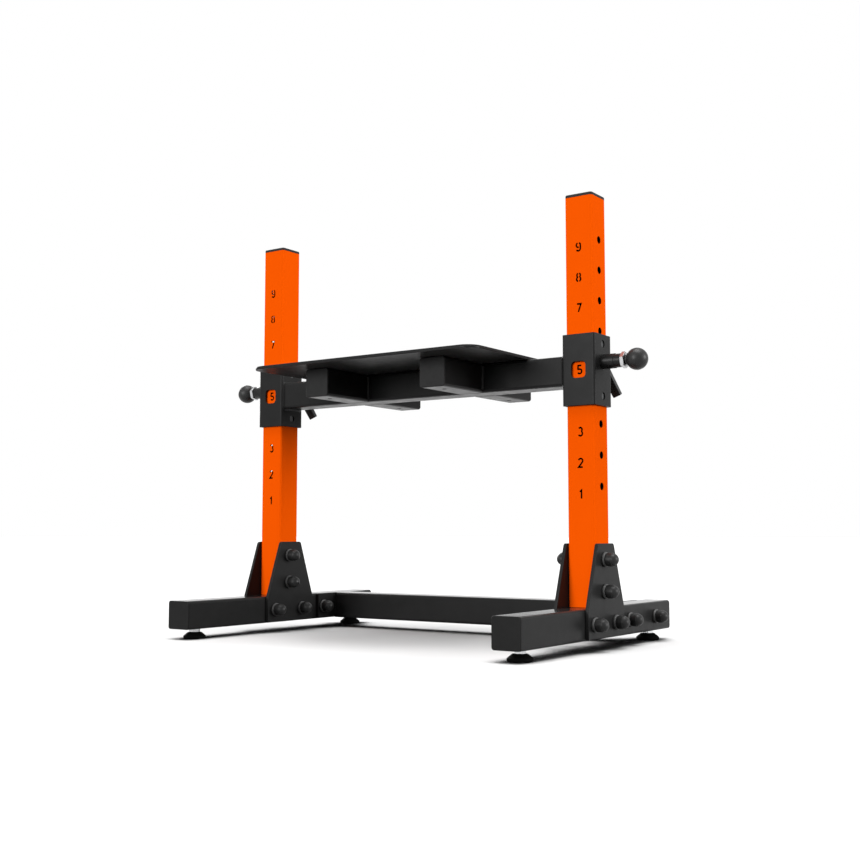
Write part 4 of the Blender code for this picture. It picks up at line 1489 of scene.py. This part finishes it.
@dataclass
class Plunger:
    """One spring plunger's moving set: pin, collar, hex nut and ball knob."""

    side: Side
    root_x: float
    pin: float = 0.012
    tip: float = -0.0043
    chamfer: float = 0.001
    collar: float = 0.0227
    collar_mouth: float = 0.014
    collar_end: float = 0.035
    collar_wall: float = 0.0009
    collar_floor: float = 0.002
    collar_rounding: float = 0.0012
    stem: float = 0.010
    stem_end: float = 0.0523
    nut_flats: float = 0.024
    nut_height: float = 0.0062
    nut_turn: float = math.pi / 12
    ball: float = 0.036
    neck: float = 0.016
    neck_length: float = 0.0026
    neck_edge: float = 0.0005
    bore_depth: float = 0.011
    seam: float = 0.00012
    seam_turn: float = 1.0

    def build(self) -> None:
        """Models the set and puts it on the plunger's axis."""
        side, sign = self.side.label, self.side.value
        root = (sign * self.root_x, 0.0, PLUNGER_Z)
        nut_root = (root[0] + sign * (self.collar_end + GAP), 0.0, PLUNGER_Z)
        nut = HexNut(self.stem, self.nut_flats, self.nut_height, sign * self.nut_turn)
        pieces = (
            (self.rod(f"plunger_rod_{side}"), root, BRIGHT_STEEL, "steel", "pin"),
            (self.sliding_collar(f"plunger_collar_{side}"), root, GLOSS_COAT, "black_coat", "pin"),
            (nut.build(f"plunger_hex_nut_{side}"), nut_root, ZINC, "zinc", "nut"),
            (self.knob(f"ball_knob_{side}"), root, KNOB_PLASTIC, "black_plastic", "knob"),
        )
        for made, place, finish, slot, word in pieces:
            set_down(made, place, self.side.facing)
            own(made, finish, slot, f"plunger_{side}", f"plunger_{word}_{side}")

    def rod(self, name: str) -> Piece:
        """Models the pin with its chamfered tip and its stem.

        Args:
            name: The piece's name.

        Returns:
            The pin, along Z.
        """
        pin = self.pin / 2
        shoulder = self.collar_end - self.collar_floor
        stem = self.stem / 2
        profile = [(0.0, self.tip), (pin - self.chamfer, self.tip), (pin, self.tip + self.chamfer)]
        profile += [(pin, shoulder), (stem, shoulder), (stem, self.stem_end), (0.0, self.stem_end)]
        return turned(name, profile, 32)

    def sliding_collar(self, name: str) -> Piece:
        """Models the cap-like collar that covers the barrel's mouth.

        Args:
            name: The piece's name.

        Returns:
            The collar, along Z.
        """
        outer = self.collar / 2
        inner = outer - self.collar_wall
        soft = self.collar_rounding
        floor = self.collar_end - self.collar_floor
        stem = self.stem / 2
        profile = [(inner, self.collar_mouth), (outer, self.collar_mouth)]
        profile += rounded((outer - soft, self.collar_end - soft), soft, 0.0, 90.0)
        profile += [(stem, self.collar_end), (stem, floor), (inner, floor), (inner, self.collar_mouth)]
        return turned(name, profile, 48)

    def knob(self, name: str) -> Piece:
        """Models the ball knob with its neck, its threaded hole and the mould's parting line.

        Args:
            name: The piece's name.

        Returns:
            The knob, along Z.
        """
        start = self.collar_end + GAP + self.nut_height + GAP
        radius = self.ball / 2
        neck = self.neck / 2
        bore = self.stem / 2 + GAP
        hub = start + self.neck_length + math.sqrt(radius ** 2 - neck ** 2)
        first = -90.0 + math.degrees(math.asin(neck / radius))
        profile = [(0.0, start + self.bore_depth), (bore, start + self.bore_depth), (bore, start)]
        profile += [(neck - self.neck_edge, start), (neck, start + self.neck_edge)]
        profile += rounded((0.0, hub), radius, first, -self.seam_turn, 14)
        profile += [(radius + self.seam, hub)]
        profile += rounded((0.0, hub), radius, self.seam_turn, 90.0, 16)
        return turned(name, profile, 48)


@dataclass
class Spring:
    """One plunger's coil, held by the collar's end."""

    side: Side
    wire: float = 0.0014
    turns: int = 6
    travel: float = 0.0077
    wire_sides: int = 10
    turn_steps: int = 28

    def build(self) -> None:
        """Winds the coil where its node is and lets it follow the plunger's slide."""
        side = self.side.label
        low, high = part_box(f"plunger_spring_{side}")
        first, last = (low.x, high.x) if self.side is Side.RIGHT else (high.x, low.x)
        length = high.x - low.x
        z = centre(f"plunger_spring_{side}")[2]
        deselect()
        bpy.ops.mesh.primitive_circle_add(vertices=self.wire_sides, radius=self.wire / 2,
                                          location=((high.z - low.z - self.wire) / 2, 0.0, self.wire / 2),
                                          rotation=(math.pi / 2, 0.0, 0.0))
        coil = named(f"plunger_coil_{side}")
        settle()
        modify(coil, "SCREW", angle=2 * math.pi, steps=self.turn_steps, render_steps=self.turn_steps,
               iterations=self.turns, screw_offset=(length - self.wire) / self.turns)
        edit(coil)
        bpy.ops.mesh.select_all(action="SELECT")
        bpy.ops.mesh.fill_holes(sides=0)
        set_down(close_up(coil), (first, 0.0, z), self.side.facing)
        own(coil, BRIGHT_STEEL, "steel", f"plunger_{side}", f"plunger_spring_{side}")
        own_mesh(coil)


@dataclass
class ClampLever:
    """One clamp's inclined lever: a skirted hub with a capped screw, and a tapered arm."""

    side: Side
    place_x: float
    start: float = 0.0403
    hub_diameter: float = 0.019
    hub_length: float = 0.027
    hub_rounding: float = 0.0012
    foot_shares: tuple[float, float] = (0.82, 0.86)
    foot_edge: float = 0.0005
    skirt: float = 0.0045
    cap_share: float = 0.55
    cap_crown: float = 0.9
    dish: float = 0.0008
    bore: float = 0.0086
    bore_depth: float = 0.0135
    reach: float = 0.0545
    root: tuple[float, float] = (0.0165, 0.0115)
    tip: tuple[float, float] = (0.0145, 0.0095)
    rounding: float = 0.0013
    sink: float = 0.001
    turn: float = math.radians(20.0)
    tilt: float = math.radians(20.0)

    def build(self) -> None:
        """Models the lever and sets it on the clamp's axis, arm down."""
        side = self.side.label
        hub = self.hub(f"clamp_handle_{side}")
        combine(hub, self.arm(), Cut.JOIN)
        choose(hub)
        hub.matrix_world = (Matrix.Translation((self.place_x, 0.0, PLUNGER_Z))
                            @ Matrix.Rotation(math.pi - self.turn, 4, "Y")
                            @ Matrix.Rotation(-math.pi / 2, 4, "X"))
        settle()
        own(hub, KNOB_PLASTIC, "black_plastic", f"clamp_{side}", f"clamp_lever_{side}")
        coat_node(f"clamp_stud_{side}", ZINC)

    def hub(self, name: str) -> Piece:
        """Models the hub: bored foot, skirt, waist and a dished end with its screw cap.

        Args:
            name: The piece's name.

        Returns:
            The hub, along Z.
        """
        radius = self.hub_diameter / 2
        end = self.start + self.hub_length
        bore = self.bore / 2
        soft = self.hub_rounding
        dish = self.dish
        cap = radius * self.cap_share
        foot, bead = (radius * share for share in self.foot_shares)
        profile = [(0.0, self.start + self.bore_depth), (bore, self.start + self.bore_depth)]
        profile += [(bore, self.start), (foot, self.start), (bead, self.start + self.foot_edge)]
        profile += [(radius, self.start + self.skirt), (radius, end - soft)]
        profile += rounded((radius - soft, end - soft), soft, 0.0, 90.0)
        profile += [(cap + dish, end), (cap + dish, end - dish), (cap, end - dish)]
        profile += [(cap * self.cap_crown, end - dish / 3), (0.0, end)]
        return turned(name, profile, 40)

    def arm(self) -> Piece:
        """Models the arm: a block with a narrower end, its edges rounded, leaning out from the hub."""
        arm = block("arm", (*self.root, self.reach))
        pick(arm, Part.FACES, at_height(self.reach))
        bpy.ops.transform.resize(value=(self.tip[0] / self.root[0], self.tip[1] / self.root[1], 1.0),
                                 center_override=(0.0, 0.0, self.reach))
        soften(arm, everything, self.rounding, 3)
        close_up(arm)
        end = self.start + self.hub_length
        arm.matrix_world = (Matrix.Translation((0.0, 0.0, end - self.root[1] / 2 - self.sink))
                            @ Matrix.Rotation(math.pi / 2 - self.tilt, 4, "X"))
        choose(arm)
        settle()
        return arm


@dataclass
class Welds:
    """Weld beads: a ring where the crossbar meets each sleeve, upright runs at supports and flanges."""

    leg: float = 0.0035
    run: float = 0.041
    throat: float = 0.0008
    bead_round: float = 0.85
    bead_end: float = 0.0006

    def build(self) -> None:
        """Models a ring and a run, and copies them to their places."""
        level = centre("platform_frame")[2]
        run = self.bead("bead_pattern")
        for side in Side:
            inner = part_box(f"sleeve_{side.label}")[0 if side is Side.RIGHT else 1].x
            ring = self.ring(f"crossbar_weld_{side.label}")
            set_down(ring, (inner, 0.0, level), side.opposite.facing)
            own(ring, WELD_COAT, "black_coat", "carriage")
            x = centre(f"support_end_cap_front_{side.label}")[0]
            for end in End:
                place = (x, end.value * TUBE / 2, level)
                self.pair(run, f"support_weld_{end.label}_{side.label}", place, end)
        bpy.data.objects.remove(run)

    def ring(self, name: str) -> Piece:
        """Models the fillet round a square tube that stands on height zero.

        Args:
            name: The piece's name.

        Returns:
            The ring.
        """
        wide = TUBE + 2 * self.leg
        ring = bar(name, (wide, wide, self.leg), TUBE_CORNER + self.leg)
        pick(ring, Part.FACES, at_height(self.leg))
        share = (TUBE + self.throat) / wide
        bpy.ops.transform.resize(value=(share, share, 1.0), center_override=(0.0, 0.0, self.leg))
        bpy.ops.object.mode_set(mode="OBJECT")
        core = bar("core", (TUBE + GAP, TUBE + GAP, 3 * self.leg), TUBE_CORNER, -self.leg)
        bpy.ops.object.mode_set(mode="OBJECT")
        combine(ring, core, Cut.AWAY)
        return ring

    def bead(self, name: str) -> Piece:
        """Models one upright run in the corner between two walls, its hidden edge on the Z axis.

        Args:
            name: The piece's name.

        Returns:
            The bead, which fills the corner towards +X and +Y.
        """
        bead = block(name, (self.leg, self.leg, self.run), -self.run / 2)
        pick(bead, Part.FACES, everything)
        bpy.ops.transform.translate(value=(self.leg / 2 + GAP / 2, self.leg / 2 + GAP / 2, 0.0))

        def outer_edge(edge: Item) -> bool:
            """Whether an edge is the one that shows."""
            return upright_edge(edge) and middle(edge).x > self.leg / 2 and middle(edge).y > self.leg / 2
        soften(bead, outer_edge, self.leg * self.bead_round, 4)
        soften(bead, sharp_rim(-self.run / 2, self.run / 2), self.bead_end, 2)
        return close_up(bead)

    @staticmethod
    def pair(run: Piece, name: str, place: Point, end: End) -> None:
        """Sets a run on either side of a square tube that meets a wall.

        Args:
            run: The bead that is copied.
            name: The start of the pieces' names.
            place: Where the tube's middle meets the wall.
            end: Whether the tube runs forwards or backwards from the wall.
        """
        for side in Side:
            bead = copied(run, f"{name}_{side.label}")
            choose(bead)
            bead.scale = (side.value, end.value, 1.0)
            bead.location = (place[0] + side.value * TUBE / 2, *place[1:])
            settle()
            own(close_up(bead), WELD_COAT, "black_coat", "carriage")


@dataclass
class Platform:
    """The crossbar with its supports, their end caps, the plate and the grip mat."""

    corner: float = 0.025
    plate_edge: float = 0.0008
    mat_edge: float = 0.0005
    cap_thickness: float = 0.003

    def build(self) -> None:
        """Finishes the frame and models what it carries."""
        coat_node("platform_frame", BLACK_COAT)
        self.slab("platform_plate", "step_plate", self.plate_edge, BLACK_COAT, "black_coat")
        self.slab("platform_mat", "step_mat", self.mat_edge, MAT_RUBBER, "rubber")
        for side in Side:
            for end in End:
                self.cap(side, end)

    def slab(self, node: str, name: str, edge: float, finish: Finish, slot: str) -> None:
        """Models a flat slab with round corners and eased edges.

        Args:
            node: The node that it replaces.
            name: The piece's name.
            edge: How far the edges are eased.
            finish: Its finish.
            slot: The record's material slot.
        """
        low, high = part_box(node)
        size = (high.x - low.x, high.y - low.y, high.z - low.z)
        slab = bar(name, size, self.corner, low.z, 12)
        soften(slab, sharp_rim(low.z, high.z), edge, 2)
        own(close_up(slab), finish, slot, "carriage", node)

    def cap(self, side: Side, end: End) -> None:
        """Models the cap of one support.

        Args:
            side: The support's side.
            end: The support's end.
        """
        node = f"support_end_cap_{end.label}_{side.label}"
        low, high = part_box(node)
        cap = EndCap(high.x - low.x, self.cap_thickness)
        x, _, z = centre(node)
        face = low.y if end is End.FRONT else high.y
        place = (x, face - end.value * cap.thickness, z)
        made = set_down(cap.build(f"support_cap_{end.label}_{side.label}"), place, end.facing)
        own(made, CAP_PLASTIC, "cap_plastic", "carriage", node)


@dataclass(frozen=True)
class Lamp:
    """One wide soft lamp, far away."""

    name: str
    azimuth: float
    elevation: float
    softness: float
    level: float
    distance: float = 3.0

    def hang(self) -> None:
        """Adds the lamp. At level 1 it lights a white face that looks at it to plain white by itself."""
        deselect()
        rise = math.radians(self.elevation)
        swing = math.radians(self.azimuth)
        towards = Vector((math.sin(swing) * math.cos(rise), -math.cos(swing) * math.cos(rise),
                          math.sin(rise)))
        bpy.ops.object.light_add(type="SUN", location=self.distance * towards)
        lamp = bpy.context.view_layer.objects.active
        lamp.name = self.name
        lamp.data.energy = math.pi * self.level
        lamp.data.angle = math.radians(self.softness)
        lamp.rotation_euler = towards.to_track_quat("Z", "Y").to_euler()


@dataclass
class Studio:
    """Plain studio: a pale floor, a white background, even sky light and soft lamps round the object."""

    floor_size: float = 80.0
    floor_colour: str = "D7D7D7"
    floor_bounce: str = "202020"
    # Painted shadow: the floor's colour where something nearly touches it
    contact_colour: str = "141414"
    contact_reach: float = 0.052
    contact_span: tuple[float, float] = (0.4, 0.65)
    sky: float = 0.4
    lamps: tuple[Lamp, ...] = (
        Lamp("overhead_lamp", 60.0, 84.0, 42.0, 1.0),
        Lamp("front_lamp", -12.0, 12.0, 30.0, 0.72),
        Lamp("right_lamp", 110.0, 12.0, 30.0, 0.72),
        Lamp("rear_left_lamp", 240.0, 20.0, 30.0, 0.4),
    )
    lens: float = 49.63
    film_width: float = 36.0
    place: tuple[float, float, float] = (1.2362, -1.7415, 0.1879)
    rise: float = 4.9641
    swing: float = 34.8876

    def build(self) -> None:
        """Sets up floor, light, background and camera."""
        self.floor()
        for lamp in self.lamps:
            lamp.hang()
        self.background()
        self.camera()

    def floor(self) -> None:
        """Lays the floor. Rays to the camera, to gloss and through glass see it pale, others duller.

        Where something nearly touches the floor, ambient occlusion darkens the floor's colour: a painted
        contact shadow, deep as under the low tubes.
        """
        deselect()
        bpy.ops.mesh.primitive_plane_add(size=self.floor_size, location=(0.0, 0.0, 0.0))
        floor = named("studio_floor")
        made = bpy.data.materials.new("Matt studio floor")
        made.use_nodes = True
        tree = made.node_tree
        tree.nodes.clear()
        seen = self.seen(tree)
        # Painted contact shadow, from ambient occlusion near the object
        near = add_node(tree, "AmbientOcclusion", {"Distance": self.contact_reach}, samples=6)
        dark, clear = self.contact_span
        deep = add_node(tree, "MapRange", {"Value": near.outputs["AO"], "From Min": dark,
                                           "From Max": clear})
        pale = add_node(tree, "MixRGB", {"Fac": deep.outputs["Result"],
                                         "Color1": to_linear(self.contact_colour),
                                         "Color2": to_linear(self.floor_colour)})
        colour = add_node(tree, "MixRGB", {"Fac": seen, "Color1": to_linear(self.floor_bounce),
                                           "Color2": pale.outputs["Color"]})
        matt = add_node(tree, "BsdfDiffuse", {"Color": colour.outputs["Color"]})
        add_node(tree, "OutputMaterial", {"Surface": matt.outputs["BSDF"]})
        floor.data.materials.append(made)

    @staticmethod
    def seen(tree: Tree) -> Socket:
        """Returns 1 for rays from the camera, from gloss and through glass, and 0 for light's own rays."""
        path = add_node(tree, "LightPath").outputs
        first = add_node(tree, "Math", {0: path["Is Camera Ray"], 1: path["Is Glossy Ray"]},
                         operation="MAXIMUM")
        both = add_node(tree, "Math", {0: first.outputs["Value"], 1: path["Is Transmission Ray"]},
                        operation="MAXIMUM")
        return both.outputs["Value"]

    def background(self) -> None:
        """Makes the world white to the eye and a plain sky to the surfaces."""
        world = bpy.data.worlds.new("studio_world")
        world.use_nodes = True
        bpy.context.scene.world = world
        tree = world.node_tree
        tree.nodes.clear()
        strength = add_node(tree, "MapRange", {"Value": self.seen(tree), "To Min": self.sky, "To Max": 1.0})
        shine = add_node(tree, "Background", {"Color": to_linear("FFFFFF"),
                                              "Strength": strength.outputs["Result"]})
        add_node(tree, "OutputWorld", {"Surface": shine.outputs["Background"]})
        bpy.context.scene.view_settings.view_transform = "Standard"

    def camera(self) -> None:
        """Stands the camera where the photograph was taken from."""
        deselect()
        bpy.ops.object.camera_add(location=self.place,
                                  rotation=(math.radians(90.0 + self.rise), 0.0, math.radians(self.swing)))
        camera = bpy.context.view_layer.objects.active
        camera.name = "photograph_view"
        camera.data.lens = self.lens
        camera.data.sensor_width = self.film_width
        bpy.context.scene.camera = camera


def main() -> None:
    """Builds the classes in order, from the floor up, and keeps the sizes of both models."""
    logging.basicConfig(level=logging.INFO, format="%(message)s")
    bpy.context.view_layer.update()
    Studio().build()
    pad_y = centre("levelling_foot_rear_right")[1]
    upright_x = centre("upright_right")[0]
    sleeve_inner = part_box("sleeve_right")[0].x
    sleeve_outer = 2 * upright_x - sleeve_inner
    for side in Side:
        Foot(side, pad_y).build()
        Gussets(side).build()
        CoveredBolts(side, BoltCover()).build()
        Upright(side).build()
        Sleeve(side).build()
        Plunger(side, sleeve_outer).build()
        Spring(side).build()
        ClampLever(side, side.value * upright_x).build()
        for level in ("upper", "lower"):
            coat_node(f"sleeve_liner_{level}_{side.label}", LINER_NYLON)
    coat_node("rear_cross_member", BLACK_COAT)
    Platform().build()
    Welds().build()


if __name__ == "__main__":
    main()
